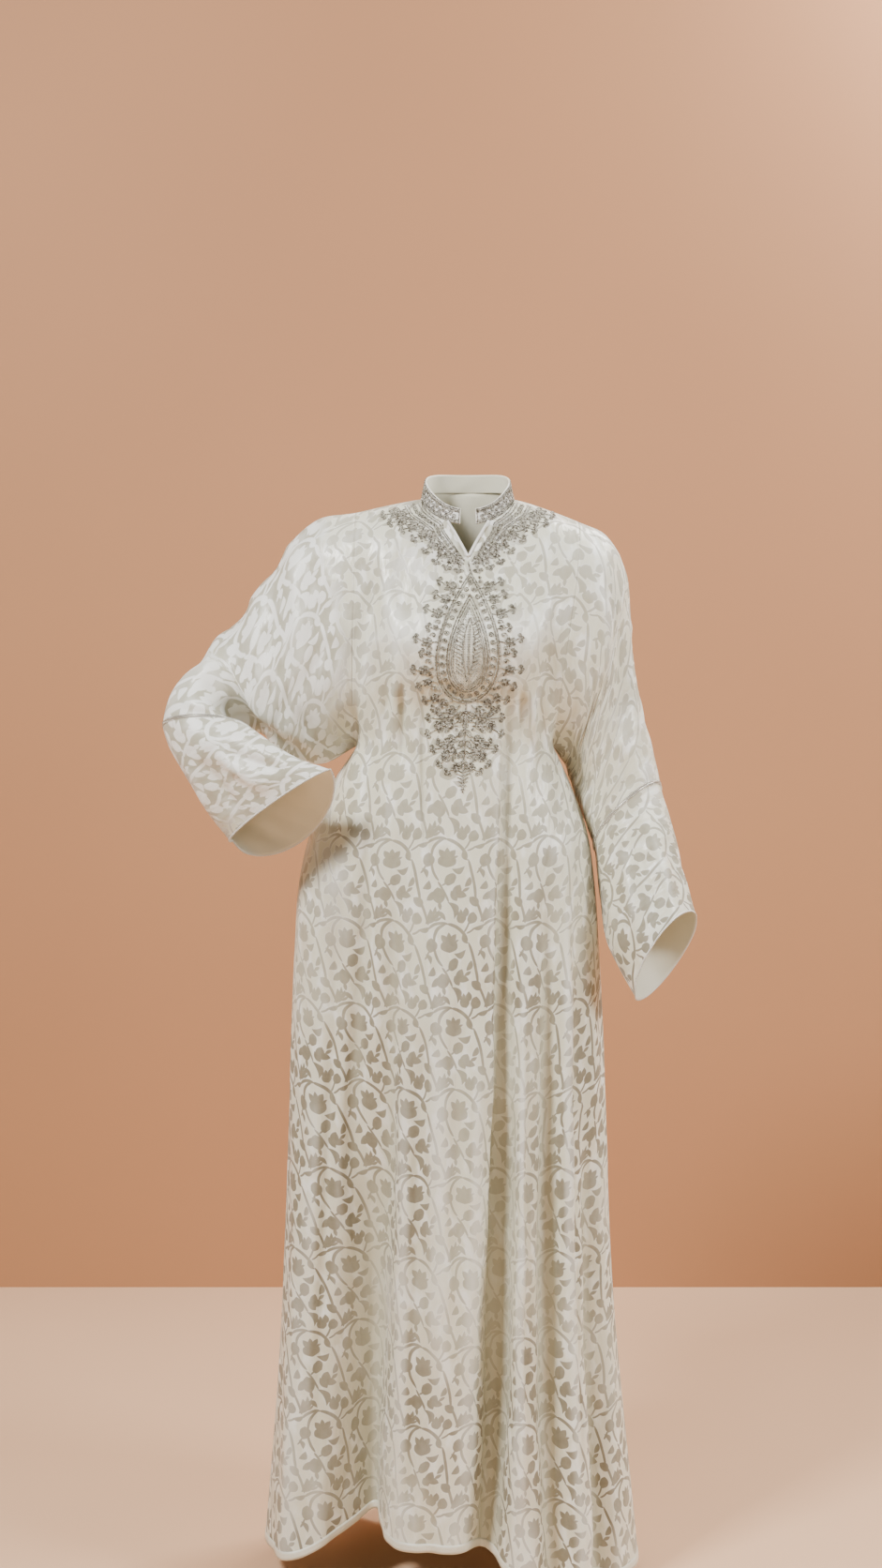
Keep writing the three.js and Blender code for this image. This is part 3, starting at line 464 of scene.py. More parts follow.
def cloth_chart(points):
    """Where each point of a panel lies on its flat cut, in millimetres across and down."""
    step = np.diff(points, axis=1)
    across = np.hypot(step[..., 0], step[..., 1])
    across = np.concatenate([np.zeros((len(points), 1)), np.cumsum(across, axis=1)], axis=1)
    across -= across[:, points.shape[1] // 2][:, None]
    step = np.diff(points, axis=0)
    down = np.hypot(step[..., 1], step[..., 2])
    down = np.concatenate([np.zeros((1, points.shape[1])), np.cumsum(down, axis=0)])
    down += UNDERARM_DROP - down[CHEST_STEPS]
    return np.stack([across, down], -1)


def unit(vectors):
    return vectors / np.maximum(np.linalg.norm(vectors, axis=-1, keepdims=True), 1e-9)


def outward(points, wrap, flip):
    """Directions out of a grid of points; a grid that wraps is a closed ring across."""
    if wrap:
        closed = np.concatenate([points[:, -1:], points, points[:, :1]], axis=1)
        across = closed[:, 2:] - closed[:, :-2]
    else:
        across = np.gradient(points, axis=1)
    down = np.gradient(points, axis=0)
    direction = np.cross(down, across)
    return unit(-direction if flip else direction)


CREASE_SPOTS, CREASE_REACH, CREASE_TAPER, CREASE_FACING = 25, 3, 0.7, 0.35


def crease(points, directions, table, face, depth=1.0):
    """Moves points out along creases that are seen from the front or the back."""
    moved = np.zeros(points.shape[:2])
    facing = directions[..., 1] * face < CREASE_FACING
    for x0, drop0, x1, drop1, x2, drop2, before, after, out in table:
        t = np.linspace(0, 1, CREASE_SPOTS)[:, None]
        ends = np.array([(x0, -drop0), (x1, -drop1), (x2, -drop2)], float)
        path = (1 - t) ** 2 * ends[0] + 2 * t * (1 - t) * ends[1] + t * t * ends[2]
        reach = CREASE_REACH * max(before, after)
        flat = points[..., [0, 2]]
        low, high = path.min(0) - reach, path.max(0) + reach
        near = facing & np.all((flat > low) & (flat < high), axis=-1)
        spots = flat[near]
        if not len(spots):
            continue
        best = np.full(len(spots), 1e9)
        share = np.zeros(len(spots))
        sided = np.zeros(len(spots))
        for i in range(len(path) - 1):
            run = path[i + 1] - path[i]
            along = np.clip(((spots - path[i]) @ run) / (run @ run), 0, 1)
            gap = spots - path[i] - along[:, None] * run
            distance = np.hypot(*gap.T)
            closer = distance < best
            best = np.where(closer, distance, best)
            share = np.where(closer, (i + along) / (len(path) - 1), share)
            sided = np.where(closer, run[0] * gap[:, 1] - run[1] * gap[:, 0], sided)
        width = np.where(sided > 0, after, before)
        taper = np.sin(math.pi * np.clip(share, 0, 1)) ** CREASE_TAPER
        moved[near] += depth * out * taper * np.exp(-((best / width) ** 2))
    return points + moved[..., None] * directions


HOLLOW_ROUNDS, SMOOTHING = 50, 0.25


def hollows(points, flip):
    """How far each point lies behind the cloth around it, in millimetres."""
    spread = points.copy()
    for _ in range(HOLLOW_ROUNDS):
        spread[:, 1:-1] += SMOOTHING * (spread[:, 2:] + spread[:, :-2] - 2 * spread[:, 1:-1])
        spread[1:-1] += SMOOTHING * (spread[2:] + spread[:-2] - 2 * spread[1:-1])
    return np.sum((spread - points) * outward(points, False, flip), axis=-1)


CLOTH_THICKNESS, SAME_PLACE = 0.9, 1e-5


def cloth_mesh(name, grids, materials, thickness=CLOTH_THICKNESS):
    """A thin cloth shell from grids of points, with the place on the cut as its UV map.

    A grid is its points, their places on the cut, whether it faces inwards, and the faces to keep.
    """
    mesh = bmesh.new()
    chart = mesh.loops.layers.uv.new("cut")
    hollow = mesh.verts.layers.float.new("hollow")
    for points, places, flip, keep in grids:
        rows, columns = points.shape[:2]
        corners = [[mesh.verts.new(p) for p in line] for line in points * MM]
        for line, depths in zip(corners, hollows(points, flip)):
            for corner, depth in zip(line, depths):
                corner[hollow] = depth
        for row in range(rows - 1):
            for column in range(columns - 1):
                if keep is not None and not keep[row, column]:
                    continue
                spots = [(row, column), (row + 1, column), (row + 1, column + 1), (row, column + 1)]
                if flip:
                    spots.reverse()
                face = mesh.faces.new([corners[r][c] for r, c in spots])
                face.smooth = True
                for loop, (r, c) in zip(face.loops, spots):
                    loop[chart].uv = places[r, c] * MM
    mesh.verts.ensure_lookup_table()
    bmesh.ops.remove_doubles(mesh, verts=mesh.verts, dist=SAME_PLACE)
    loose = [v for v in mesh.verts if not v.link_faces]
    bmesh.ops.delete(mesh, geom=loose, context="VERTS")
    data = bpy.data.meshes.new(name)
    mesh.to_mesh(data)
    mesh.free()
    for material in materials:
        data.materials.append(material)
    piece = bpy.data.objects.new(name, data)
    bpy.context.scene.collection.objects.link(piece)
    shell = piece.modifiers.new("cloth", "SOLIDIFY")
    shell.thickness = thickness * MM
    shell.offset = -1
    shell.material_offset = len(materials) - 1
    shell.material_offset_rim = len(materials) - 1
    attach(piece, "root")
    return piece


RIPPLE_ACROSS, RIPPLE_DOWN, RIPPLE_SLICE = 34, 120, 3.1


def ripple(points, directions, places, amount):
    """Adds the cloth's slight unevenness, longer down the cloth than across."""
    flat = places * (1 / RIPPLE_ACROSS, 1 / RIPPLE_DOWN)
    out = np.array([[noise.noise((u, v, RIPPLE_SLICE)) for u, v in line] for line in flat])
    return points + amount * out[..., None] * directions


# x and drop where a crease starts, where it bends and where it ends; width to the wearer's right
# and left; how far out. The first are the gathers under the bust, then the folds of the skirt.
FRONT_CREASES = [
    (-109, 236, -108, 270, -112, 322, 6, 6, -2.4),
    (-98, 240, -97, 280, -99, 345, 5, 6, 3),
    (-88, 244, -86, 285, -88, 350, 4, 5, -3),
    (-76, 250, -73, 290, -72, 340, 5, 6, 2),
    (70, 252, 72, 285, 76, 335, 5, 5, -3),
    (82, 246, 85, 290, 92, 350, 6, 5, 3),
    (93, 240, 98, 280, 106, 340, 6, 6, -2.4),
    (-59, 262, -61, 350, -57, 470, 5, 6, -2.6),
    (-52, 290, -53, 370, -50, 470, 5, 8, 2.5),
    (54, 250, 46, 430, 42, 640, 5, 22, -8),
    (42, 470, 39, 760, 33, 980, 5, 24, -11),
    (35, 800, 29, 1120, 21, 1440, 5, 24, -13),
    (50, 300, 33, 700, 22, 1440, 9, 6, 4),
    (106, 520, 112, 900, 104, 1380, 8, 12, -8),
    (84, 620, 88, 980, 80, 1400, 9, 14, -6),
    (140, 560, 152, 900, 160, 1380, 8, 12, -7),
    (128, 430, 134, 700, 140, 1000, 12, 12, 5),
    (-96, 430, -112, 760, -122, 1250, 12, 16, -8),
    (-128, 380, -150, 620, -160, 980, 12, 14, -6),
    (-176, 520, -190, 860, -205, 1330, 10, 14, -7),
    (-40, 520, -38, 900, -46, 1350, 20, 24, 6),
    (-4, 430, -8, 700, -14, 1100, 14, 16, -4),
    (12, 700, 6, 1000, 0, 1390, 12, 14, 4),
    (-62, 700, -72, 1050, -80, 1390, 10, 12, -5),
    (-122, 186, -116, 225, -104, 280, 12, 14, -3.2),
    (118, 190, 112, 228, 100, 276, 14, 12, -3),
    (-60, 226, -20, 262, 30, 268, 6, 6, -1.5),
    (-112, 120, -92, 175, -70, 215, 14, 10, 3),
    (112, 120, 96, 170, 78, 212, 10, 14, 3),
    (-140, 60, -128, 120, -124, 185, 9, 12, -4),
    (142, 74, 134, 130, 130, 190, 12, 9, -4),
]
BACK_CREASES = [
    (-118, 90, -112, 200, -98, 330, 14, 10, -6),
    (116, 96, 110, 210, 100, 335, 10, 14, -6),
    (-62, 230, -64, 330, -58, 480, 7, 9, -5),
    (-20, 250, -24, 380, -20, 560, 9, 7, 4),
    (34, 236, 36, 330, 30, 470, 8, 7, -5),
    (84, 260, 90, 360, 92, 500, 7, 8, 4),
    (-104, 420, -116, 800, -128, 1380, 9, 18, -9),
    (-46, 480, -52, 900, -60, 1400, 14, 10, -7),
    (8, 520, 6, 900, 2, 1400, 12, 16, 6),
    (58, 440, 66, 820, 74, 1390, 16, 8, -9),
    (112, 480, 126, 860, 140, 1380, 10, 14, -7),
    (-156, 520, -172, 880, -190, 1360, 12, 12, 6),
    (150, 560, 162, 900, 176, 1350, 10, 12, -5),
]
FRONT_COLUMNS, BACK_COLUMNS = 180, 144
WAIST_REACH, WAIST_ROUNDS, WAIST_EDGE = 16, 80, 10
PANEL_CREASE_DEPTH, PANEL_RIPPLE, PANEL_EDGE = 1.75, 3.2, 8
front_points, front_index = panel(1, FRONT_HALF, FRONT_COLUMNS)
back_points, _ = panel(-1, BACK_HALF, BACK_COLUMNS)
for face, points, creases in ((1, front_points, FRONT_CREASES), (-1, back_points, BACK_CREASES)):
    edges = np.minimum(np.arange(points.shape[1]), np.arange(points.shape[1])[::-1])
    amount = SMOOTHING * smooth(edges / WAIST_EDGE)[None, :, None]
    waist = points[CHEST_STEPS - WAIST_REACH : CHEST_STEPS + WAIST_REACH]
    for _ in range(WAIST_ROUNDS):
        waist[1:-1] += amount * (waist[2:] + waist[:-2] - 2 * waist[1:-1])
    directions = outward(points, False, False)
    below = np.arange(len(points))
    shut = smooth(edges / PANEL_EDGE)[None, :, None] * smooth(below / PANEL_EDGE)[:, None, None]
    shaped = crease(points, directions, creases, face, PANEL_CREASE_DEPTH)
    shaped = ripple(shaped, directions, cloth_chart(points), PANEL_RIPPLE)
    points += (shaped - points) * shut

# The jacquard: an ivory satin ground and a duller vine of tulips, buds and leaves, which climbs in a
# repeat of 76 by 112 mm. Each part of the vine is a spindle bent to a curve.
REPEAT = (76.0, 112.0)
GROUND = (0.83, 0.815, 0.68, 1)
# The ground's painted sheen: a mottle towards painted shade, and flecks and ridges of painted highlight
GROUND_SHADE = (0.7, 0.67, 0.5, 1)
SATIN_PAINTED_HIGHLIGHT = (0.97, 0.97, 0.91, 1)
# The dull ground where the vine turns pale: painted shade
GROUND_PAINTED_SHADE = (0.46, 0.435, 0.335, 1)
FIGURE = (0.19, 0.165, 0.105, 1)
FIGURE_WORN = (0.32, 0.285, 0.2, 1)
# The pale vine there: painted sheen
VINE_PAINTED_SHEEN = (0.93, 0.92, 0.87, 1)
# The vine's bright rim: a painted highlight
RIM_PAINTED_HIGHLIGHT = (0.97, 0.965, 0.93, 1)
# Painted shade in the hollows of the folds
FOLD_SHADE = (0.55, 0.535, 0.4, 1)
REVERSE_LIGHT = (0.84, 0.81, 0.68, 1)
REVERSE_DARK = (0.68, 0.64, 0.48, 1)
FULLER = 1.32
# place across and down, half length, half width, degrees, bend, bluntness of the ends
VINE = [
    (-13, 0, 14.5, 1.7, -12, 1.9, 4),
    (16, 9, 20, 2.0, 41, 2.2, 4),
    (36, 54, 30, 1.7, 79, 0.9, 4),
    (46, 98, 16, 1.6, 73, 0.5, 4),
    (-14, 9, 15, 1.8, 126, -2.4, 4),
    (-17, 39, 19, 1.6, 73, -1.9, 4),
    (-3, 70, 16, 1.4, 63, 0.6, 4),
    (1, 29, 9.0, 9.6, 92, 0, 1.5),
    (-6, 19, 7, 3.4, 68, 0.4, 1),
    (1, 18, 8, 3.0, 90, 0, 1),
    (8, 19, 7, 3.4, 116, -0.4, 1),
    (11, 24, 6, 1.6, 150, -0.4, 1),
    (-23, -9, 11, 4.6, 112, 0.9, 1),
    (-15, -12, 9, 2.4, 138, 0.9, 1),
    (-17, -17, 7, 2.0, 118, 0.9, 1),
    (-14, -7, 9, 1.6, 158, 0.9, 1),
    (20, -7, 7.5, 5.4, 72, 0, 1.3),
    (15, -14, 6, 2.2, 66, 0, 1),
    (25, -14, 6, 2.2, 106, 0, 1),
    (20, -14, 5, 2.0, 85, 0, 1),
    (35, -6, 8.5, 5.2, 112, 0.2, 1.3),
    (28, 5, 9, 1.2, 118, 0.6, 3),
    (44, 7, 9, 2.6, 164, 0.8, 1),
    (33, 11, 7, 1.2, 150, 0.6, 3),
    (52, 27, 10, 6.2, 100, 0.2, 1.3),
    (45, 40, 7, 1.2, 120, 0.3, 3),
    (17, 41, 9.5, 3.6, 168, 1.3, 1),
    (38, 84, 8.5, 4.6, 50, 0.2, 1.2),
    (55, 76, 8, 3.6, 130, 0.4, 1.1),
    (27, 68, 6, 2.0, 150, 0, 1),
    (6, 54, 7.4, 7.2, 40, 0, 1.5),
    (-1, 60, 5, 1.2, 150, 0, 3),
    (-10, 75, 11, 7.0, 84, 0, 1.25),
    (-9, 88, 6, 2.2, 84, 0, 1),
    (15, 69, 9, 4.8, 128, 0.3, 1.1),
    (20, 75, 9, 4.0, 5, 0.3, 1.1),
    (11, 76, 8, 4.0, 60, 0, 1.1),
    (10, 93, 12, 3.8, 70, 1.6, 1),
    (-25, 62, 7.5, 3.6, 128, 0.8, 1),
    (-28, 44, 8, 2.6, 62, 0.9, 1),
    (-26, 26, 9, 2.8, 96, -0.8, 1.1),
    (24, 22, 8, 2.4, 60, -0.7, 1.1),
    (30, 58, 8, 3.0, 118, 0.5, 1.1),
    (-8, 100, 9, 2.6, 40, 0.8, 1.1),
    (27, 98, 7, 2.8, 96, 0.4, 1.1),
]


def vine(look, place):
    """How deep a place is inside the vine, in millimetres; less than 0 on the ground."""
    windows = []
    for shift_x in (0.0, 0.5):
        for shift_y in (0.0, 0.5):
            middle = (shift_x * REPEAT[0], shift_y * REPEAT[1])
            low = [middle[i] - REPEAT[i] / 2 for i in (0, 1)] + [-1]
            high = [middle[i] + REPEAT[i] / 2 for i in (0, 1)] + [1]
            sockets = {0: place, 1: high, 2: low}
            windows.append((middle, look.node("ShaderNodeVectorMath", {"operation": "WRAP"}, sockets)))
    deepest = None
    for x, y, length, width, degrees, bend, blunt in VINE:
        best = None
        for middle, wrapped in windows:
            at = [v - REPEAT[i] * round((v - middle[i]) / REPEAT[i]) for i, v in enumerate((x, y))]
            edge = min(REPEAT[i] / 2 - abs(at[i] - middle[i]) for i in (0, 1))
            if best is None or edge > best[0]:
                best = (edge, at, wrapped)
        width *= FULLER
        turn = math.radians(degrees)
        shift = 0.33 * bend * width
        spot = (best[1][0] + shift * math.sin(turn), best[1][1] - shift * math.cos(turn), 0)
        sockets = {"Vector": best[2], "Location": spot}
        sockets.update({"Rotation": (0, 0, turn), "Scale": (length, width, 1)})
        along, across, _ = look.split(look.node("ShaderNodeMapping", {"vector_type": "TEXTURE"}, sockets))
        square = along * along
        end = square if blunt == 1 else square**blunt
        if bend:
            across = look.math3("MULTIPLY_ADD", square, -bend, across)
        depth = look.math3("MULTIPLY_ADD", end + look.math("ABSOLUTE", across), -width, width)
        deepest = look.math("MAXIMUM", deepest, depth) if deepest else depth
    return deepest


# how far the drawing wanders across and down in millimetres, finely and then broadly
WANDER, DRIFT = (3, 2), (12, 34)
VINE_EDGE, RIM_WIDTH = 1.4, 0.9


def jacquard_look(name):
    look = Look(name)
    place = look.node("ShaderNodeUVMap", {"uv_map": "cut"})
    around = look.object_place()
    # The vine, drawn on the flat cut
    wander, drift = look.noise(place, 25, 2.0), look.noise(place, 5, 1.0)
    shifts = {i: WANDER[i] * wander + DRIFT[i] * drift for i in (0, 1)}
    shaken = look.node("ShaderNodeCombineXYZ", {}, shifts)
    sockets = {0: place, 1: (1 / MM, 1 / MM, 0), 2: shaken}
    depth = vine(look, look.node("ShaderNodeVectorMath", {"operation": "MULTIPLY_ADD"}, sockets))
    inside = look.math3("MULTIPLY_ADD", depth, VINE_EDGE, 0.5, True)
    rim = look.math("MULTIPLY", 1 - look.math("ABSOLUTE", depth) / RIM_WIDTH, 1.0, True)
    # The vine's contrast is painted sheen: it is darkest low on the skirt; in some regions, most on the
    # bent sleeve, it is painted pale, as lit by the satin's sheen, on a dull ground of painted shade.
    across, _, up = look.split(around)
    low = look.math("MULTIPLY", (-0.3 - up) / 0.35, 1.0, True)
    strength = look.ramp(look.noise(around, 5.0, 1.0, (1, 1, 0.7)), 0.32, 0.52, 0.6, 1.0) * (0.6 + 0.4 * low)
    bent = look.math("MULTIPLY", (-0.15 - across) / 0.07, 1.0, True) * (1 - low)
    turned = look.ramp(look.noise(around, 4.2, 1.0, (1, 1, 0.7)) + 0.3 * bent, 0.58, 0.7, 0.0, 1.0)
    # Ground with a painted mottle of sheen and shade, flecks of painted highlight, then the vine and its
    # bright rim
    highlight_fleck = look.ramp(look.noise(place, 48, 3.0, (1, 0.45, 1)), 0.5, 0.68, 0.0, 0.75)
    ground = look.blend(look.noise(around, 9.0, 3.0), GROUND, GROUND_SHADE)
    ground = look.blend(highlight_fleck, ground, SATIN_PAINTED_HIGHLIGHT)
    mottled = look.blend(look.noise(place, 120, 3.0), FIGURE, FIGURE_WORN)
    plain = look.blend(inside * strength, ground, mottled)
    shaded_ground = look.blend(highlight_fleck * 0.4, GROUND_PAINTED_SHADE, SATIN_PAINTED_HIGHLIGHT)
    pale = look.blend(0.85 * inside, shaded_ground, VINE_PAINTED_SHEEN)
    colour = look.blend(turned, plain, pale)
    # The vine's bright rim is a painted highlight, where the raised edge of the figure would catch light
    colour = look.blend(rim * (0.6 - 0.3 * inside), colour, RIM_PAINTED_HIGHLIGHT)
    # Painted shade in the hollows of the folds, and a painted highlight on their ridges
    hollow = look.node("ShaderNodeAttribute", {"attribute_name": "hollow"}, {}, output=2)
    colour = look.blend(look.ramp(hollow, 0.5, 8.0, 0.0, 0.6), colour, FOLD_SHADE)
    colour = look.blend(look.ramp(hollow, -2.5, -8.0, 0.0, 0.4), colour, SATIN_PAINTED_HIGHLIGHT)
    # Fine puckers and the threads of the weave
    weave = look.noise(place, 900, 1.0, (1, 0.12, 1))
    puckers = look.bump(look.noise(place, 30, 3.0, (1, 0.4, 1)), 0.01, 0.55)
    threads = look.bump(weave, 0.0006, 0.25, puckers)
    rough = 0.27 + 0.12 * weave + 0.2 * inside
    return look.finish(base_color=colour, roughness=rough, normal=threads, sheen_weight=0.15)


jacquard = jacquard_look("ivory jacquard")
reverse_look = Look("cloth reverse")
reverse_tone = reverse_look.noise(reverse_look.object_place(), 14, 3.0)
reverse_colour = reverse_look.blend(reverse_tone, REVERSE_LIGHT, REVERSE_DARK)
cloth_reverse = reverse_look.finish(base_color=reverse_colour, roughness=0.55)

# Sleeves: wide dolman sleeves, one piece each from the armhole to the elbow, and a flared cuff
# panel sewn to it below a line of silver braid. The right sleeve is bent and the left one hangs.
SEAM_STATION, LAST_STATION, ARMHOLE_STATIONS = 6, 9, 3
SLEEVE_STEPS, CUFF_STEPS = 90, 60
# station; the sleeve's top line (x, y, drop), its lower line, depth to the front and the back
SLEEVES = {
    -1: [
        (0, -150, 5, 14, -150, 5, 330, 74, 74),
        (1, -206, 6, 27, -186, 3, 350, 76, 74),
        (2, -259, 8, 78, -224, -2, 354, 75, 72),
        (3, -310, 11, 151, -258, -6, 341, 72, 70),
        (4, -353, 15, 207, -288, -13, 311, 66, 66),
        (5, -384, 18, 258, -308, -43, 286, 60, 61),
        (6, -390, 12, 316, -318, -74, 290, 57, 52),
        (7, -374, -6, 364, -284, -106, 304, 52, 40),
        (8, -349, -28, 410, -236, -132, 332, 44, 42),
        (9, -318, -50, 456, -180, -148, 353, 38, 50),
    ],
    1: [
        (0, 150, 5, 26, 116, 5, 330, 74, 74),
        (1, 187, 6, 46, 128, 20, 346, 72, 72),
        (2, 215, 8, 95, 135, 34, 362, 68, 70),
        (3, 225, 9, 160, 144, 41, 386, 64, 66),
        (4, 234, 8, 230, 155, 43, 412, 60, 62),
        (5, 246, 4, 306, 169, 40, 442, 57, 58),
        (6, 259, -2, 380, 182, 31, 477, 56, 56),
        (7, 275, -14, 440, 188, 8, 543, 60, 60),
        (8, 295, -28, 504, 196, -20, 612, 65, 64),
        (9, 309, -42, 558, 228, -50, 670, 66, 66),
    ],
}
# station, how far the front of the ring is lifted, how far its back hangs down
TILTS = {
    -1: [(0, 0, 0), (6, 0, 0), (9, 6, 60)],
    1: [(0, 0, 0), (6, 0, 0), (9, 18, 6)],
}
ring_rows = np.concatenate([armhole_rows, 2 * ARMHOLE_ROWS - armhole_rows[-2:0:-1]])


def ring_middle(table, station):
    over_x, over_y, over_drop, under_x, under_y, under_drop, _, _ = read(table, station)
    return np.stack([over_x + under_x, over_y + under_y, -over_drop - under_drop], -1) / 2


def sleeve_points(side, stations):
    table = SLEEVES[side]
    over_x, over_y, over_drop, under_x, under_y, under_drop, front_out, back_out = read(table, stations)
    ahead = ring_middle(table, np.minimum(stations + 0.5, LAST_STATION))
    behind = ring_middle(table, np.maximum(stations - 0.5, 0))
    half = np.stack([over_x - under_x, over_y - under_y, under_drop - over_drop], -1) / 2
    to_front = unit(np.cross(ahead - behind, half) * side)
    lift, hang = read(TILTS[side], stations)
    is_front = ring_rows <= ARMHOLE_ROWS
    rows = np.where(is_front, ring_rows, 2 * ARMHOLE_ROWS - ring_rows)
    upward = 1 - 2 * row_share(rows)
    outness = np.sqrt(np.maximum(0, 1 - upward**2))
    depth = np.where(is_front, front_out[:, None], -back_out[:, None]) * outness
    points = ring_middle(table, stations)[:, None] + half[:, None] * upward[None, :, None]
    points = points + to_front[:, None] * depth[..., None]
    points[..., 2] += np.where(is_front, lift[:, None], -hang[:, None]) * outness
    return points


def armhole_edge(side):
    front_edge = front_points[: CHEST_STEPS + 1, -1 if side > 0 else 0]
    back_edge = back_points[: CHEST_STEPS + 1, 0 if side > 0 else -1]
    return np.concatenate([front_edge, back_edge[-2:0:-1]])


def ring_chart(points):
    """Across: round the ring from its top line; down: along the sleeve."""
    around = np.linalg.norm(np.diff(points, axis=1, append=points[:, :1]), axis=-1)
    around = np.cumsum(around, axis=1) - around
    along = np.linalg.norm(np.diff(points.mean(axis=1), axis=0), axis=-1)
    along = np.concatenate([[0], np.cumsum(along)])
    return np.stack([around, np.broadcast_to(along[:, None], around.shape)], -1)


def sleeve_grids(side, points, first_places):
    """The front half and the back half of a sleeve, each charted on from the places it starts at."""
    halves = []
    along = np.linalg.norm(np.diff(points.mean(axis=1), axis=0), axis=-1)
    along = np.concatenate([[0], np.cumsum(along)])[:, None]
    settle = smooth(2 * np.arange(len(points)) / len(points))[:, None]
    for face in (1, -1):
        if face > 0:
            half = points[:, : CHEST_STEPS + 1]
        else:
            half = np.concatenate([points[:, CHEST_STEPS:], points[:, :1]], axis=1)
        step = np.linalg.norm(np.diff(half, axis=1), axis=-1)
        around = np.concatenate([np.zeros((len(half), 1)), np.cumsum(step, axis=1)], axis=1)
        if face < 0:
            around = around[:, -1:] - around
        first = first_places[face] - np.stack([np.zeros(half.shape[1]), around[0]], -1)
        first = mix(first[None], first.mean(axis=0), settle[..., None])
        places = first + np.stack([np.broadcast_to(side * face * along, around.shape), around], -1)
        halves.append((half, places, side > 0, None))
    return halves


# The first table's creases show from the front and the back, the second one's from the front alone.
SLEEVE_CREASES = [
    (-258, 60, -268, 140, -262, 232, 14, 16, -6),
    (-226, 52, -230, 150, -222, 262, 14, 14, 5),
    (-196, 50, -200, 150, -196, 250, 12, 14, -6),
    (-300, 130, -312, 190, -322, 252, 12, 12, -5),
    (-330, 170, -346, 210, -356, 250, 10, 12, 4),
    (-168, 60, -160, 170, -166, 280, 12, 12, 5),
    (196, 74, 214, 200, 216, 330, 13, 13, -5),
    (176, 70, 184, 190, 190, 330, 12, 12, 5),
    (228, 170, 238, 260, 246, 370, 9, 10, -4),
]
SLEEVE_FRONT_CREASES = [
    (-363, 236, -290, 322, -206, 348, 8, 14, -15),
    (-376, 262, -330, 300, -280, 322, 8, 8, 9),
    (-386, 306, -352, 310, -318, 300, 7, 7, 6),
    (-360, 300, -330, 335, -296, 372, 7, 9, -9),
    (-380, 286, -350, 322, -322, 340, 6, 7, -5),
    (-128, 182, -137, 230, -138, 300, 8, 10, -9),
    (-232, 270, -222, 300, -200, 330, 9, 9, -6),
    (146, 150, 131, 235, 133, 320, 9, 11, -9),
    (132, 300, 146, 370, 160, 400, 8, 9, -7),
    (166, 350, 162, 380, 166, 410, 7, 7, -4),
    (204, 330, 216, 380, 226, 430, 10, 10, -4),
]
CUFF_CREASES = [
    (-354, 346, -324, 385, -296, 430, 8, 10, -8),
    (-336, 330, -300, 362, -262, 382, 8, 9, 6),
    (-318, 330, -280, 348, -240, 352, 8, 8, -6),
    (-372, 352, -350, 400, -322, 446, 8, 9, 6),
    (226, 430, 240, 500, 262, 570, 10, 10, -6),
    (246, 440, 262, 510, 282, 566, 9, 9, 4),
    (208, 470, 218, 550, 236, 620, 9, 9, 5),
    (270, 450, 282, 500, 298, 550, 8, 8, -4),
]
BLEND_STEPS, BLEND_ROUNDS, BLEND_ENDS = 12, 40, 6


def ease_armhole(side, rings):
    """Smooths the cloth from a panel into the sleeve, so no seam line stands out."""
    for face, points in ((1, front_points), (-1, back_points)):
        for row in range(2, CHEST_STEPS - 1):
            at = row if face > 0 else 2 * CHEST_STEPS - row
            columns = np.arange(BLEND_STEPS, -1, -1)
            if side * face > 0:
                columns = points.shape[1] - 1 - columns
            line = np.concatenate([points[row, columns], rings[1 : BLEND_STEPS + 1, at]])
            amount = SMOOTHING * min(1, row / BLEND_ENDS, (CHEST_STEPS - row) / BLEND_ENDS)
            for _ in range(BLEND_ROUNDS):
                line[1:-1] += amount * (line[2:] + line[:-2] - 2 * line[1:-1])
            points[row, columns] = line[: BLEND_STEPS + 1]
            rings[: BLEND_STEPS + 1, at] = line[BLEND_STEPS:]


SIDES = ((-1, "right"), (1, "left"))
SLEEVE_RIPPLE, SHUT_AT_ARMHOLE, SHUT_AT_SEAM, LOOSE_MOUTH = 4, 0.8, 0.3, 0.5
sleeve_rings, cuff_rings = {}, {}
for side, _ in SIDES:
    stations = np.linspace(0, SEAM_STATION, SLEEVE_STEPS + 1)
    points = sleeve_points(side, stations)
    settle = (1 - np.clip(stations / ARMHOLE_STATIONS, 0, 1)) ** 2
    points = points + settle[:, None, None] * (armhole_edge(side) - points[0])
    directions = outward(points, True, side > 0)
    shaped = crease(points, directions, SLEEVE_CREASES + SLEEVE_FRONT_CREASES, 1)
    shaped = crease(shaped, directions, SLEEVE_CREASES, -1)
    shaped = ripple(shaped, directions, ring_chart(points), SLEEVE_RIPPLE)
    shut = smooth(stations / SHUT_AT_ARMHOLE) * smooth((SEAM_STATION - stations) / SHUT_AT_SEAM)
    points = points + (shaped - points) * shut[:, None, None]
    ease_armhole(side, points)
    sleeve_rings[side] = points
    cuff_stations = np.linspace(SEAM_STATION, LAST_STATION, CUFF_STEPS + 1)
    cuff_points = sleeve_points(side, cuff_stations)
    directions = outward(cuff_points, True, side > 0)
    shaped = crease(cuff_points, directions, CUFF_CREASES, 1)
    shaped = ripple(shaped, directions, ring_chart(cuff_points), SLEEVE_RIPPLE)
    near_mouth = smooth(cuff_stations - LAST_STATION + 1)
    shut = smooth((cuff_stations - SEAM_STATION) / SHUT_AT_SEAM) * mix(1, LOOSE_MOUTH, near_mouth)
    cuff_points = cuff_points + (shaped - cuff_points) * shut[:, None, None]
    cuff_rings[side] = cuff_points

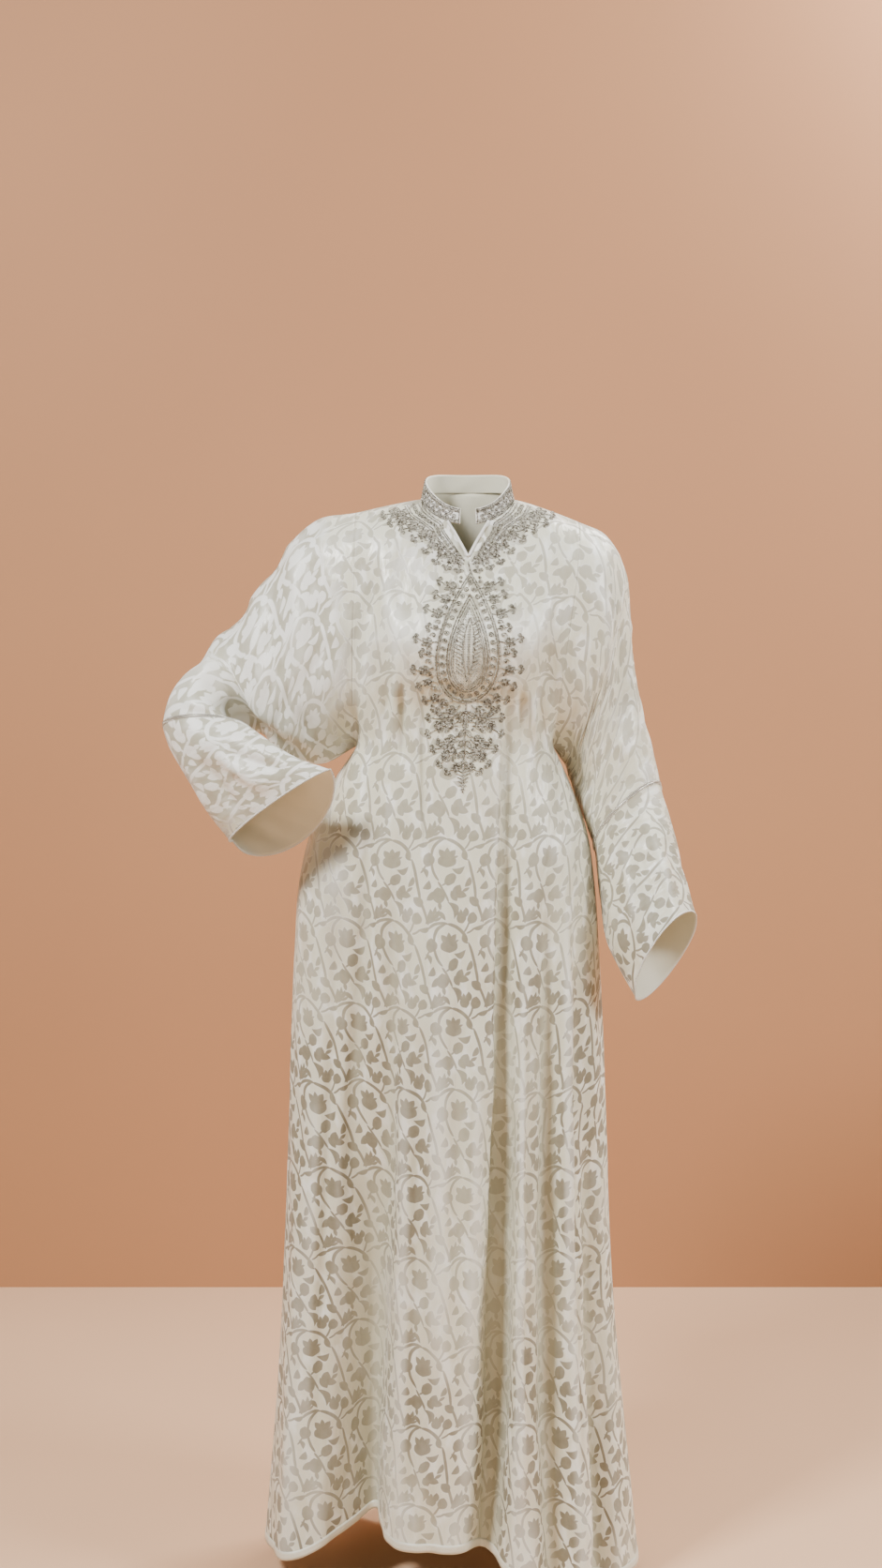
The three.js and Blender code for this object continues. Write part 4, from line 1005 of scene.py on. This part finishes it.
front_chart = cloth_chart(front_points)
front_keep = np.ones((len(front_points) - 1, len(front_index) - 1), bool)
slit_rows = int(np.argmin(np.abs(armhole_rows - SLIT_ROWS)))
centres = np.abs((front_index[1:] + front_index[:-1]) / 2 - FRONT_HALF)
front_keep[:slit_rows, centres < 1] = False
front_grid = (front_points, front_chart, False, front_keep)
front = cloth_mesh("front_cloth", [front_grid], [jacquard, cloth_reverse])
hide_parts("front")

back_chart = cloth_chart(back_points)
back_grid = (back_points, back_chart, False, None)
back = cloth_mesh("back_cloth", [back_grid], [jacquard, cloth_reverse])
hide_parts("back")
for side, name in SIDES:
    front_edge = front_chart[: CHEST_STEPS + 1, -1 if side > 0 else 0]
    back_edge = back_chart[CHEST_STEPS::-1, 0 if side > 0 else -1]
    halves = sleeve_grids(side, sleeve_rings[side], {1: front_edge, -1: back_edge})
    sleeve = cloth_mesh(f"sleeve_{name}_cloth", halves, [jacquard, cloth_reverse])
    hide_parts(f"sleeve_{name}")
    0.154 if side < 0 else 0.124
    halves = sleeve_grids(side, cuff_rings[side], {1: halves[0][1][-1], -1: halves[1][1][-1]})
    cuff = cloth_mesh(f"cuff_{name}_cloth", halves, [jacquard, cloth_reverse])
    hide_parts(f"cuff_{name}")
    0.07 if side < 0 else 0.077

# Hem: the skirt's edge is turned up once in a plain cream band, 12 mm deep, that puckers a little.
HEM_LIGHT, HEM_DARK = (0.85, 0.82, 0.7, 1), (0.74, 0.7, 0.56, 1)
HEM_ROWS, HEM_LIFT, HEM_THICKNESS = 4, (0.5, 0.5, 0), 0.45
hem_look = Look("cream hem")
hem_tone = hem_look.noise(hem_look.object_place(), 60, 3.0)
hem_colour = hem_look.blend(hem_tone, HEM_LIGHT, HEM_DARK)
hem_weave = hem_look.noise(hem_look.object_place(), 1200, 1.0)
hem_bump = hem_look.bump(hem_weave, 0.0006, 0.3, hem_look.bump(hem_tone, 0.004, 0.5))
cream_satin = hem_look.finish(base_color=hem_colour, roughness=0.4, normal=hem_bump)
for name, points, chart in (("front", front_points, front_chart), ("back", back_points, back_chart)):
    directions = outward(points, False, False)[-HEM_ROWS:]
    band = points[-HEM_ROWS:] + HEM_LIFT * directions
    grid = (band, chart[-HEM_ROWS:], False, None)
    cloth_mesh(f"hem_{name}", [grid], [cream_satin], HEM_THICKNESS)
    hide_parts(name)

# Collar: a low stand collar of white satin, open at the front, covered with bead work.
COLLAR_HEIGHT, COLLAR_LEAN, COLLAR_FRONT_LOSS, COLLAR_FRONT_SHARE = 25, 5, 4, 0.6
COLLAR_TIP, COLLAR_THICKNESS, COLLAR_STEPS, COLLAR_LEVELS = 10, 1.8, 80, 12
SATIN_LIGHT, SATIN_DARK = (0.82, 0.8, 0.76, 1), (0.72, 0.7, 0.64, 1)


def collar_point(turn, level, lift=0.0):
    base = neck_point(turn)
    fore = smooth((np.cos(turn) - 1 + COLLAR_FRONT_SHARE) / COLLAR_FRONT_SHARE)
    radial = np.stack([np.sin(turn), -np.cos(turn), np.zeros(np.shape(turn))], -1)
    height = COLLAR_HEIGHT - COLLAR_FRONT_LOSS * fore
    place = base + radial * (lift - COLLAR_LEAN * level)[..., None]
    place[..., 2] = place[..., 2] + height * level
    return place


tip = math.radians(COLLAR_TIP)
right_turns = np.linspace(-tip, -math.pi, COLLAR_STEPS + 1)
left_turns = np.linspace(math.pi, tip, COLLAR_STEPS + 1)[1:]
turns = np.concatenate([right_turns, left_turns])
turn_grid, level_grid = np.meshgrid(turns, np.linspace(0, 1, COLLAR_LEVELS + 1))
collar_points = collar_point(turn_grid, level_grid, np.zeros(turn_grid.shape))
collar_places = np.stack([turn_grid * NECK_SIDE, level_grid * COLLAR_HEIGHT], -1)
satin_look = Look("white satin")
satin_weave = satin_look.noise(satin_look.object_place(), 700, 1.0)
satin_colour = satin_look.blend(satin_weave, SATIN_LIGHT, SATIN_DARK)
satin = satin_look.finish(base_color=satin_colour, roughness=0.42)
collar_grid = (collar_points, collar_places, False, None)
collar = cloth_mesh("collar_cloth", [collar_grid], [satin, cloth_reverse], COLLAR_THICKNESS)
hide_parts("collar")

# Neck work: pewter and champagne beads sewn in close lines, rings, leaves and berry sprigs, from the
# shoulders round the neck to the foot of the slit. A generic layout in the traditional manner.
WORK_ROWS = CHEST_STEPS + 40
row_length = FRONT_COLUMNS + 1
firsts = np.arange(WORK_ROWS)[:, None] * row_length + np.arange(FRONT_COLUMNS)
front_tree = BVHTree.FromPolygons(
    [Vector(p) for p in front_points.reshape(-1, 3) * MM],
    [(i, i + row_length, i + row_length + 1, i + 1) for i in firsts[front_keep[:WORK_ROWS]].tolist()],
)
BEAD_LIFT, BEAD_RADIUS = 0.7, 1.12
STEEP, FAR_FRONT, NEAR_FRONT = -0.12, -0.5, -0.02


def on_front(x, drop):
    """The place on the front's cloth behind a point of the front view, and the way out of it."""
    start = Vector((x * MM, FAR_FRONT, -drop * MM))
    place, normal, _, _ = front_tree.ray_cast(start, Vector((0, 1, 0)))
    if place is None or normal.y > STEEP:
        guess = Vector((x * MM, NEAR_FRONT, -drop * MM))
        place, normal, _, _ = front_tree.find_nearest(guess)
    return np.array(place + normal * BEAD_LIFT * MM) / MM


def even(path, pitch, closed=False):
    """Points spaced evenly along a path."""
    path = np.array(path, float)
    if closed:
        path = np.concatenate([path, path[:1]])
    length = np.concatenate([[0], np.cumsum(np.linalg.norm(np.diff(path, axis=0), axis=1))])
    count = max(2, int(round(length[-1] / pitch)) + 1)
    at = np.linspace(0, length[-1], count)
    if closed:
        at = at[:-1]
    return np.stack([np.interp(at, length, path[:, i]) for i in range(path.shape[1])], -1)


class BeadWork:
    """Beads of one piece of embroidery, sewn in lines drawn in the front view."""

    def __init__(self, lay=on_front):
        self.lay = lay
        self.places = []
        self.sizes = []

    def line(self, path, size=1.0, pitch=2.1, closed=False):
        rough = even(path, 2.5, closed)
        if closed:
            rough = np.concatenate([rough, rough[:1]])
        laid = np.array([self.lay(*spot) for spot in rough])
        beads = even(laid, pitch * size)
        if closed:
            beads = beads[:-1]
        self.places += list(beads)
        self.sizes += [size] * len(beads)

    def dot(self, x, y, size):
        self.places.append(self.lay(x, y))
        self.sizes.append(size)

    def ring(self, x, y, radius, size=0.75, heart=1.1):
        turns = np.linspace(0, 2 * math.pi, 9)[:-1]
        path = [(x + radius * math.cos(t), y + radius * math.sin(t)) for t in turns]
        self.line(path, size, closed=True)
        if heart:
            self.dot(x, y, heart)

    def leaf(self, x, y, degrees, length, width, size=0.8, vein=True, bend=0.0):
        turn = math.radians(degrees)
        along = np.array([math.cos(turn), math.sin(turn)])
        across = np.array([-along[1], along[0]])
        t = np.linspace(0, 1, 9)[:, None]
        spine = np.array([x, y]) + along * length * t + across * bend * length * t * t
        side = across * width / 2 * np.sin(math.pi * t) ** 0.8
        self.line(np.concatenate([spine + side, (spine - side)[-2:0:-1]]), size, closed=True)
        if vein:
            self.line(spine[1:-1], size * 0.8)
        return spine[-1]

    def sprig(self, x, y, tip_x, tip_y, curl):
        """A curved stem with leaves along it and three berries at its tip."""
        start, tip = np.array([x, y]), np.array([tip_x, tip_y])
        run = tip - start
        across = np.array([-run[1], run[0]])
        t = np.linspace(0, 1, 9)[:, None]
        stem = start + run * t + across * curl * np.sin(math.pi * t)
        self.line(stem, 0.9)
        length = float(np.hypot(*run))
        heading = math.degrees(math.atan2(run[1], run[0]))
        for share, spread in ((0.3, 58), (0.62, 52)):
            spot = stem[int(share * 8)]
            for way in (-1, 1):
                size = min(11, length * 0.36) * (1.1 - 0.3 * share)
                self.leaf(*spot, heading + way * spread, size, size * 0.5, 0.7, bend=-0.3 * way)
        for spread in (-62, 0, 62):
            away = math.radians(heading + spread)
            spot = tip + 4.6 * np.array([math.cos(away), math.sin(away)])
            self.ring(*spot, 2.4, 0.7, 0.9)
        self.dot(*tip, 1.2)

    def fill(self, spots, room):
        """Small rings on the spots of a field that lie clear of the beads sewn so far."""
        sewn = np.array(self.places)[:, [0, 2]] * (1, -1)
        for x, y in spots:
            if np.min(np.hypot(*(sewn - (x, y)).T)) > room:
                self.ring(x, y, 1.9, 0.62, 0.8)

    def scroll(self, x, y, radius, start, way, turns=1.3):
        """A hook that winds inwards."""
        t = np.linspace(0, 1, 22)
        angle = math.radians(start) + way * t * turns * 2 * math.pi
        reach = radius * (1 - 0.78 * t)
        self.line(np.stack([x + reach * np.cos(angle), y + reach * np.sin(angle)], -1), 0.85)
        self.dot(x, y, 1.2)


def bead_tree(name, material):
    """Sews a faceted bead on each point of a mesh, as large as the point's size says."""
    tree = bpy.data.node_groups.new(name, "GeometryNodeTree")
    face = tree.interface
    face.new_socket("Places", in_out="INPUT", socket_type="NodeSocketGeometry")
    radius = face.new_socket("Bead radius", in_out="INPUT", socket_type="NodeSocketFloat")
    face.new_socket("Beads", in_out="OUTPUT", socket_type="NodeSocketGeometry")
    kinds = ["GroupInput", "MeshIcoSphere", "InputNamedAttribute", "InstanceOnPoints", "RealizeInstances"]
    kinds += ["SetShadeSmooth", "SetMaterial", "GroupOutput"]
    made = {}
    for kind in kinds:
        prefix = "Node" if kind.startswith("Group") else "GeometryNode"
        made[kind] = tree.nodes.new(prefix + kind)
    made["MeshIcoSphere"].inputs["Subdivisions"].default_value = 1
    made["InputNamedAttribute"].data_type = "FLOAT"
    made["InputNamedAttribute"].inputs["Name"].default_value = "size"
    made["SetMaterial"].inputs["Material"].default_value = material
    join = tree.links.new
    join(made["GroupInput"].outputs["Places"], made["InstanceOnPoints"].inputs["Points"])
    join(made["GroupInput"].outputs["Bead radius"], made["MeshIcoSphere"].inputs["Radius"])
    join(made["MeshIcoSphere"].outputs["Mesh"], made["InstanceOnPoints"].inputs["Instance"])
    join(made["InputNamedAttribute"].outputs["Attribute"], made["InstanceOnPoints"].inputs["Scale"])
    join(made["InstanceOnPoints"].outputs["Instances"], made["RealizeInstances"].inputs["Geometry"])
    join(made["RealizeInstances"].outputs["Geometry"], made["SetShadeSmooth"].inputs["Geometry"])
    join(made["SetShadeSmooth"].outputs["Geometry"], made["SetMaterial"].inputs["Geometry"])
    join(made["SetMaterial"].outputs["Geometry"], made["GroupOutput"].inputs["Beads"])
    return tree, radius.identifier


def sew_beads(name, places, sizes, material):
    mesh = bpy.data.meshes.new(name + "_places")
    mesh.from_pydata([tuple(p) for p in np.array(places) * MM], [], [])
    size = mesh.attributes.new("size", "FLOAT", "POINT")
    size.data.foreach_set("value", np.array(sizes, dtype=np.float32))
    draft = bpy.data.objects.new(name + "_places", mesh)
    bpy.context.scene.collection.objects.link(draft)
    tree, identifier = bead_tree(name + " beads", material)
    sewn = draft.modifiers.new("sewn", "NODES")
    sewn.node_group = tree
    sewn[identifier] = BEAD_RADIUS * MM
    view = bpy.context.evaluated_depsgraph_get()
    data = bpy.data.meshes.new_from_object(draft.evaluated_get(view))
    bpy.data.objects.remove(draft)
    data.name = name
    piece = bpy.data.objects.new(name, data)
    bpy.context.scene.collection.objects.link(piece)
    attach(piece, "root")
    return piece


BEAD_DARK, BEAD_PALE = (0.06, 0.048, 0.03, 1), (0.66, 0.625, 0.53, 1)
BEAD_BROWN = (0.2, 0.165, 0.11, 1)
bead_look = Look("pewter beads")
bead_grain = bead_look.noise(bead_look.object_place(), 420, 1.0)
bead_patch = bead_look.noise(bead_look.object_place(), 60, 2.0)
bead_light = bead_look.ramp(bead_grain, 0.38, 0.62, 0.0, 1.0)
bead_mixed = bead_look.blend(bead_light, BEAD_DARK, BEAD_PALE)
bead_colour = bead_look.blend(bead_patch * 0.4, bead_mixed, BEAD_BROWN)
pewter_beads = bead_look.finish(
    base_color=bead_colour, metallic=0.35, roughness=0.2 + 0.2 * bead_patch, coat_weight=0.3
)


NECK_INNER = [(61, 2), (54, 14), (44, 23), (33, 30), (32, 40), (24, 52), (14, 68), (5, 81)]
NECK_OUTER = [(120, 15), (112, 29), (94, 38), (76, 52), (58, 70), (42, 86), (26, 92), (8, 95)]


def neck_spot(side, along, across):
    """A spot of the neck work: along runs from the shoulder to the slit, across runs outwards."""
    steps = np.linspace(0, 1, len(NECK_INNER))
    inner = [np.interp(along, steps, [p[i] for p in NECK_INNER]) for i in (0, 1)]
    outer = [np.interp(along, steps, [p[i] for p in NECK_OUTER]) for i in (0, 1)]
    return side * mix(inner[0], outer[0], across), mix(inner[1], outer[1], across)


def neck_course(side, across, count=40):
    return [neck_spot(side, t, across) for t in np.linspace(0, 1, count)]


# Four lines of beads, a row of rings between them, then sprigs and leaves by turns, and small hooks
NECK_LINES = (0.03, 0.1, 0.34, 0.4)
NECK_RINGS = np.linspace(0.02, 0.93, 19)
NECK_SPRIGS = np.linspace(0.04, 0.95, 15)
NECK_HOOKS = np.linspace(0.08, 0.9, 14)
neck_work = BeadWork()
for side in (-1, 1):
    for across in NECK_LINES:
        neck_work.line(neck_course(side, across), 0.95)
    for along in NECK_RINGS:
        neck_work.ring(*neck_spot(side, along, 0.22), 2.9 - 0.8 * along, 0.7)
    for number, along in enumerate(NECK_SPRIGS):
        x, y = neck_spot(side, along, 0.44)
        tip_x, tip_y = neck_spot(side, along + 0.01, 0.9)
        heading = math.degrees(math.atan2(tip_y - y, tip_x - x))
        length = math.hypot(tip_x - x, tip_y - y)
        if number % 2:
            neck_work.leaf(x, y, heading, length * 0.62, length * 0.34, 0.8)
            neck_work.dot(*neck_spot(side, along, 0.82), 1.2)
        else:
            neck_work.sprig(x, y, tip_x, tip_y, 0.06 * side)
    for along in NECK_HOOKS:
        x, y = neck_spot(side, along + 0.03, 0.55)
        neck_work.scroll(x, y, 3.6, 90 + 60 * side, side, 1.0)
    for along in (0.5, 0.66):
        x, y = neck_spot(side, along, 0.5)
        neck_work.scroll(x, y, 7, -90, -side)
        neck_work.scroll(x, y, 4.6, -90, -side, 1.0)
neck_beads = sew_beads("neck_beads", neck_work.places, neck_work.sizes, pewter_beads)
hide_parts("embroidery_neck")

# Medallion: a long drop-shaped frame of two bead lines with berry sprigs round it, and a pointed
# spray of leaves and berries below it that ends under the bust.
MEDALLION_TOP, MEDALLION_TIP = 95, 390
MEDALLION_LEAN_TOP, MEDALLION_LEAN_TIP = 3, -8
FRAME_APEX, FRAME_FOOT, FRAME_HALF, FRAME_FULLNESS = 97, 268, 42, 1.3


def lean_at(drop):
    share = (drop - MEDALLION_TOP) / (MEDALLION_TIP - MEDALLION_TOP)
    return mix(MEDALLION_LEAN_TOP, MEDALLION_LEAN_TIP, share)


def drop_line(apex, foot, half, count=60):
    """The outline of a drop: round at its foot, pointed at its apex."""
    turn = np.linspace(0, 2 * math.pi, count + 1)[:-1]
    drop = mix(foot, apex, (1 + np.cos(turn)) / 2)
    x = lean_at(drop) - half * FRAME_FULLNESS * np.sin(turn) * np.sin(turn / 2)
    return np.stack([x, drop], -1)


def sew_sprigs(work, table):
    """Sprigs on both sides, from rows of: where one starts (drop, half width), its tip, its curl."""
    for start, half, end, reach, curl in table:
        for side in (-1, 1):
            x = lean_at(start) + side * half
            work.sprig(x, start, lean_at(end) + side * reach, end, curl * side)


medallion_work = BeadWork()
for inset in (0, 3):
    frame_line = drop_line(FRAME_APEX + 1.8 * inset, FRAME_FOOT - inset, FRAME_HALF - inset)
    medallion_work.line(frame_line, 1.0, closed=True)
medallion_work.line([(0, 84), (1, 90), (3, 99)], 1.2)
FRAME_SPRIGS = [
    (118, 12, 110, 38, 0.1),
    (134, 20, 127, 43, 0.12),
    (152, 29, 146, 54, 0.12),
    (172, 37, 170, 50, -0.1),
    (188, 42, 184, 66, 0.12),
    (206, 45, 203, 58, -0.1),
    (222, 45, 224, 68, 0.1),
    (240, 41, 246, 60, -0.12),
    (256, 32, 264, 52, 0.12),
    (266, 18, 276, 40, -0.1),
]
sew_sprigs(medallion_work, FRAME_SPRIGS)
# drop and half width of the scrolls between the sprigs
SCROLLS = [(126, 22), (144, 31), (163, 40), (180, 46), (197, 50), (214, 51), (231, 49), (249, 43)]
for side in (-1, 1):
    for drop, half in SCROLLS:
        medallion_work.scroll(lean_at(drop) + side * half, drop, 4.2, 90 - 90 * side, -side, 1.0)
SPRAY_SPRIGS = [
    (272, 8, 281, 32, 0.15),
    (282, 8, 288, 46, 0.1),
    (292, 8, 298, 34, 0.1),
    (299, 10, 309, 46, -0.12),
    (311, 8, 320, 31, 0.1),
    (317, 8, 329, 39, 0.12),
    (328, 6, 339, 24, -0.1),
    (334, 5, 348, 30, -0.12),
    (346, 4, 358, 19, 0.12),
]
sew_sprigs(medallion_work, SPRAY_SPRIGS)
medallion_work.line([(lean_at(d), d) for d in (270, 300, 340, 386)], 1.1)
# the fan of leaves under the frame, in degrees, and the pairs of leaves below it, by their drop
FAN_DROP, FAN, LEAF_PAIRS = 280, (30, 60, 90, 120, 150), (304, 318, 332, 346)
for degrees in FAN:
    medallion_work.leaf(lean_at(FAN_DROP), FAN_DROP, degrees, 17, 7, 0.85)
for drop in LEAF_PAIRS:
    for side in (-1, 1):
        medallion_work.leaf(lean_at(drop), drop, 90 - 52 * side, 13, 6, 0.8, bend=0.2 * side)
for drop in np.arange(352, 386, 4.5):
    half = 14 * (388 - drop) / 36
    for side in (-1, 1):
        foot = (lean_at(drop) + side * half, drop - 0.5 * half)
        medallion_work.line([(lean_at(drop), drop), foot], 0.85)
medallion_work.ring(lean_at(298), 298, 4, 0.8, 1.8)
# The field of small rings that fills the room between: drop, half width; then its pitch and how far
# a ring keeps from the other beads.
FIELD = [(100, 14), (130, 32), (160, 44), (200, 56), (240, 54), (268, 38), (290, 34), (330, 26), (360, 12)]
FIELD_TOP, FIELD_FOOT, FIELD_PITCH, FIELD_ROOM, FIELD_MARGIN = 104, 358, 5.4, 3.6, 5
field = []
for drop in np.arange(FIELD_TOP, FIELD_FOOT, FIELD_PITCH):
    inside = 0
    if FRAME_APEX < drop < FRAME_FOOT:
        level = math.acos(2 * (drop - FRAME_FOOT) / (FRAME_APEX - FRAME_FOOT) - 1)
        inside = FRAME_HALF * FRAME_FULLNESS * math.sin(level) * math.sin(level / 2) + FIELD_MARGIN
    width = float(read(FIELD, float(drop))[0])
    shift = FIELD_PITCH / 2 * (int(drop / FIELD_PITCH) % 2)
    for away in np.arange(inside + shift, width, FIELD_PITCH):
        field += [(lean_at(drop) + side * away, drop) for side in (-1, 1)]
medallion_work.fill(field, FIELD_ROOM)
medallion_beads = sew_beads(
    "medallion_beads", medallion_work.places, medallion_work.sizes, pewter_beads
)
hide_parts("embroidery_medallion")

# Drop: inside the frame, a ring of eyelets round a smaller drop that is filled with a veined leaf,
# slanting ribs and close rows of small beads.
APEX_INSET, EYELET_INSET, EYELET_PITCH = 2.1, 8.5, 10.5
# how far each line lies inside the frame, its beads' size and their pitch
DROP_LINES = [(14, 0.95, 2.1), (17, 0.95, 2.1), (20, 0.7, 2.6), (22.4, 0.7, 2.6)]
drop_work = BeadWork()
eyelets = drop_line(FRAME_APEX + 14, FRAME_FOOT - EYELET_INSET, FRAME_HALF - EYELET_INSET)
for x, y in even(eyelets, EYELET_PITCH, True):
    drop_work.ring(x, y, 2.9, 0.8, 1.1)
for inset, size, pitch in DROP_LINES:
    inner = drop_line(FRAME_APEX + APEX_INSET * inset, FRAME_FOOT - inset, FRAME_HALF - inset)
    drop_work.line(inner, size, pitch, closed=True)
drop_work.leaf(lean_at(240), 240, -87, 84, 15, 0.9)
for drop in np.arange(166, 236, 5):
    half = 5 + 9 * math.sin(math.pi * (drop - 156) / 90)
    for side in (-1, 1):
        inner_x = lean_at(drop) + side * 6.5
        drop_work.line([(inner_x, drop), (inner_x + side * half * 0.7, drop - 5)], 0.75)
for drop in np.arange(150, 246, 3.2):
    for x in np.arange(-18, 19, 3.4):
        width = 19 * math.sin(math.pi * min(1, (drop - 138) / 130)) ** 0.8
        if abs(x) < width:
            drop_work.dot(lean_at(drop) + x, drop, 0.62)
drop_beads = sew_beads("drop_beads", drop_work.places, drop_work.sizes, pewter_beads)
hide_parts("embroidery_teardrop")

# Collar beads: lines of beads along both edges of the collar, closed by a short line at each end, and
# a row of rings between them, each with a bead in its middle, one above and one below.
# level on the collar, degrees of the line's ends from the front, pitch
COLLAR_LINES = [(v, COLLAR_TIP + 1, 180, 1.95) for v in (0.05, 0.15, 0.83, 0.94)]
COLLAR_LINES += [(v, COLLAR_TIP + 3, 178, 2.6) for v in (0.24, 0.75)]


def on_collar(turn_degrees, level):
    turn = np.array(math.radians(turn_degrees))
    return collar_point(turn, np.array(level), np.array(BEAD_LIFT))


collar_work = BeadWork(on_collar)
for side in (-1, 1):
    for level, first, last, pitch in COLLAR_LINES:
        path = [on_collar(side * t, level) for t in np.linspace(first, last, 90)]
        collar_work.places += list(even(path, pitch))
    end = [on_collar(side * (COLLAR_TIP + 1.5), v) for v in (0.05, 0.94)]
    collar_work.places += list(even(end, 2.0))
    collar_work.sizes += [0.95] * (len(collar_work.places) - len(collar_work.sizes))
    for number, turn in enumerate(np.arange(COLLAR_TIP + 8, 178, 5.2)):
        swing = 0.06 if number % 2 else -0.06
        ring = [
            on_collar(side * (turn + 2.1 * math.cos(t)), 0.5 + swing + 0.12 * math.sin(t))
            for t in np.linspace(0, 2 * math.pi, 9)[:-1]
        ]
        collar_work.places += ring + [on_collar(side * turn, 0.5 + swing)]
        collar_work.sizes += [0.75] * 8 + [1.2]
        collar_work.places += [on_collar(side * (turn + 2.6), 0.5 + way * 0.17) for way in (-1, 1)]
        collar_work.sizes += [0.9] * 2
collar_beads = sew_beads("collar_beads", collar_work.places, collar_work.sizes, pewter_beads)

# Slit binding: a white satin piping folded over both edges of the slit, with small stitches.
BINDING_RADIUS, BINDING_LIFT, STITCH_LIFT, STITCH_PITCH, STITCH_SIZE = 1.9, 0.9, 1.7, 2.6, 0.45


def tube(path, radius, sides=8, closed=False):
    """Points and faces of a cord along a path."""
    path = np.array(path, float)
    ahead = np.roll(path, -1, axis=0)
    behind = np.roll(path, 1, axis=0)
    if not closed:
        ahead[-1], behind[0] = path[-1], path[0]
    along = unit(ahead - behind)
    across = unit(np.cross(along, np.array([0.13, 0.21, 0.97])))
    up = np.cross(across, along)
    turn = 2 * math.pi * np.arange(sides) / sides
    rings = path[:, None] + radius * (
        np.cos(turn)[None, :, None] * across[:, None] + np.sin(turn)[None, :, None] * up[:, None]
    )
    count = len(path)
    faces = []
    for i in range(count if closed else count - 1):
        j = (i + 1) % count
        for k in range(sides):
            n = (k + 1) % sides
            faces.append((i * sides + k, j * sides + k, j * sides + n, i * sides + n))
    if not closed:
        faces.append(tuple(range(sides)))
        faces.append(tuple(range(count * sides - 1, (count - 1) * sides - 1, -1)))
    return rings.reshape(-1, 3) * MM, faces


def cord_piece(name, path, radius, material, closed=False):
    points, faces = tube(path, radius, closed=closed)
    piece = add_mesh(name, points, faces, material)
    shape = bmesh.new()
    shape.from_mesh(piece.data)
    bmesh.ops.recalc_face_normals(shape, faces=shape.faces)
    for face in shape.faces:
        face.smooth = True
    shape.to_mesh(piece.data)
    shape.free()
    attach(piece, "root")
    return piece


slit_column = FRONT_COLUMNS // (2 * FRONT_HALF)
slit_right, slit_left = [
    front_points[: slit_rows + 1, FRONT_COLUMNS // 2 + side * slit_column] for side in (-1, 1)
]
slit_path = np.concatenate([slit_right, slit_left[::-1]])
slit_path[:, 1] -= BINDING_LIFT
binding = cord_piece("slit_binding", even(slit_path, 2.0), BINDING_RADIUS, satin)
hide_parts("keyhole_binding")
stitch_places = even(slit_path + (0, -STITCH_LIFT, 0), STITCH_PITCH)
stitch_sizes = [STITCH_SIZE] * len(stitch_places)
stitches = sew_beads("slit_stitches", stitch_places, stitch_sizes, satin)

# Braids: a thin silver cord between two rows of small beads, sewn over the seam of each sleeve, and
# a beaded edge round each cuff below a narrow plain rim.
SILVER_DARK, SILVER_LIGHT = (0.42, 0.39, 0.33, 1), (0.88, 0.86, 0.8, 1)
CORD_RADIUS, CORD_LIFT, CORD_PITCH, RIM_RADIUS = 0.8, 0.6, 2.2, 1.1
SEAM_BEAD_AWAY, SEAM_BEAD_LIFT, SEAM_BEAD_PITCH, SEAM_BEAD_SIZE = 1.9, 0.5, 2.3, 0.95
EDGE_BEAD_AWAY, EDGE_BEAD_LIFT, EDGE_BEAD_PITCH, EDGE_BEAD_SIZE = 0.9, 0.4, 2.5, 1.05
braid_look = Look("silver braid")
braid_grain = braid_look.noise(braid_look.object_place(), 500, 1.0)
braid_colour = braid_look.blend(braid_grain, SILVER_DARK, SILVER_LIGHT)
silver_braid = braid_look.finish(base_color=braid_colour, metallic=0.7, roughness=0.28, coat_weight=0.3)
for side, name in SIDES:
    rings, mouth = sleeve_rings[side], cuff_rings[side]
    seam = rings[-1]
    directions = outward(rings, True, side > 0)[-1]
    path = even(seam + directions * CORD_LIFT, CORD_PITCH, True)
    cord = cord_piece(f"seam_cord_{name}", path, CORD_RADIUS, silver_braid, True)
    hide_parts(f"seam_braid_{name}")
    beads = []
    for beside in (rings[-2], mouth[1]):
        row = seam + unit(beside - seam) * SEAM_BEAD_AWAY + directions * SEAM_BEAD_LIFT
        beads += list(even(row, SEAM_BEAD_PITCH, True))
    sizes = [SEAM_BEAD_SIZE] * len(beads)
    sew_beads(f"seam_beads_{name}", beads, sizes, silver_braid)
    edge = mouth[-1]
    directions = outward(mouth, True, side > 0)[-1]
    path = even(edge, CORD_PITCH, True)
    rim = cord_piece(f"cuff_rim_{name}", path, RIM_RADIUS, satin, True)
    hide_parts(f"cuff_braid_{name}")
    outer = edge + unit(edge - mouth[-2]) * EDGE_BEAD_AWAY
    beads = list(even(outer + directions * EDGE_BEAD_LIFT, EDGE_BEAD_PITCH, True))
    sizes = [EDGE_BEAD_SIZE] * len(beads)
    sew_beads(f"cuff_beads_{name}", beads, sizes, silver_braid)
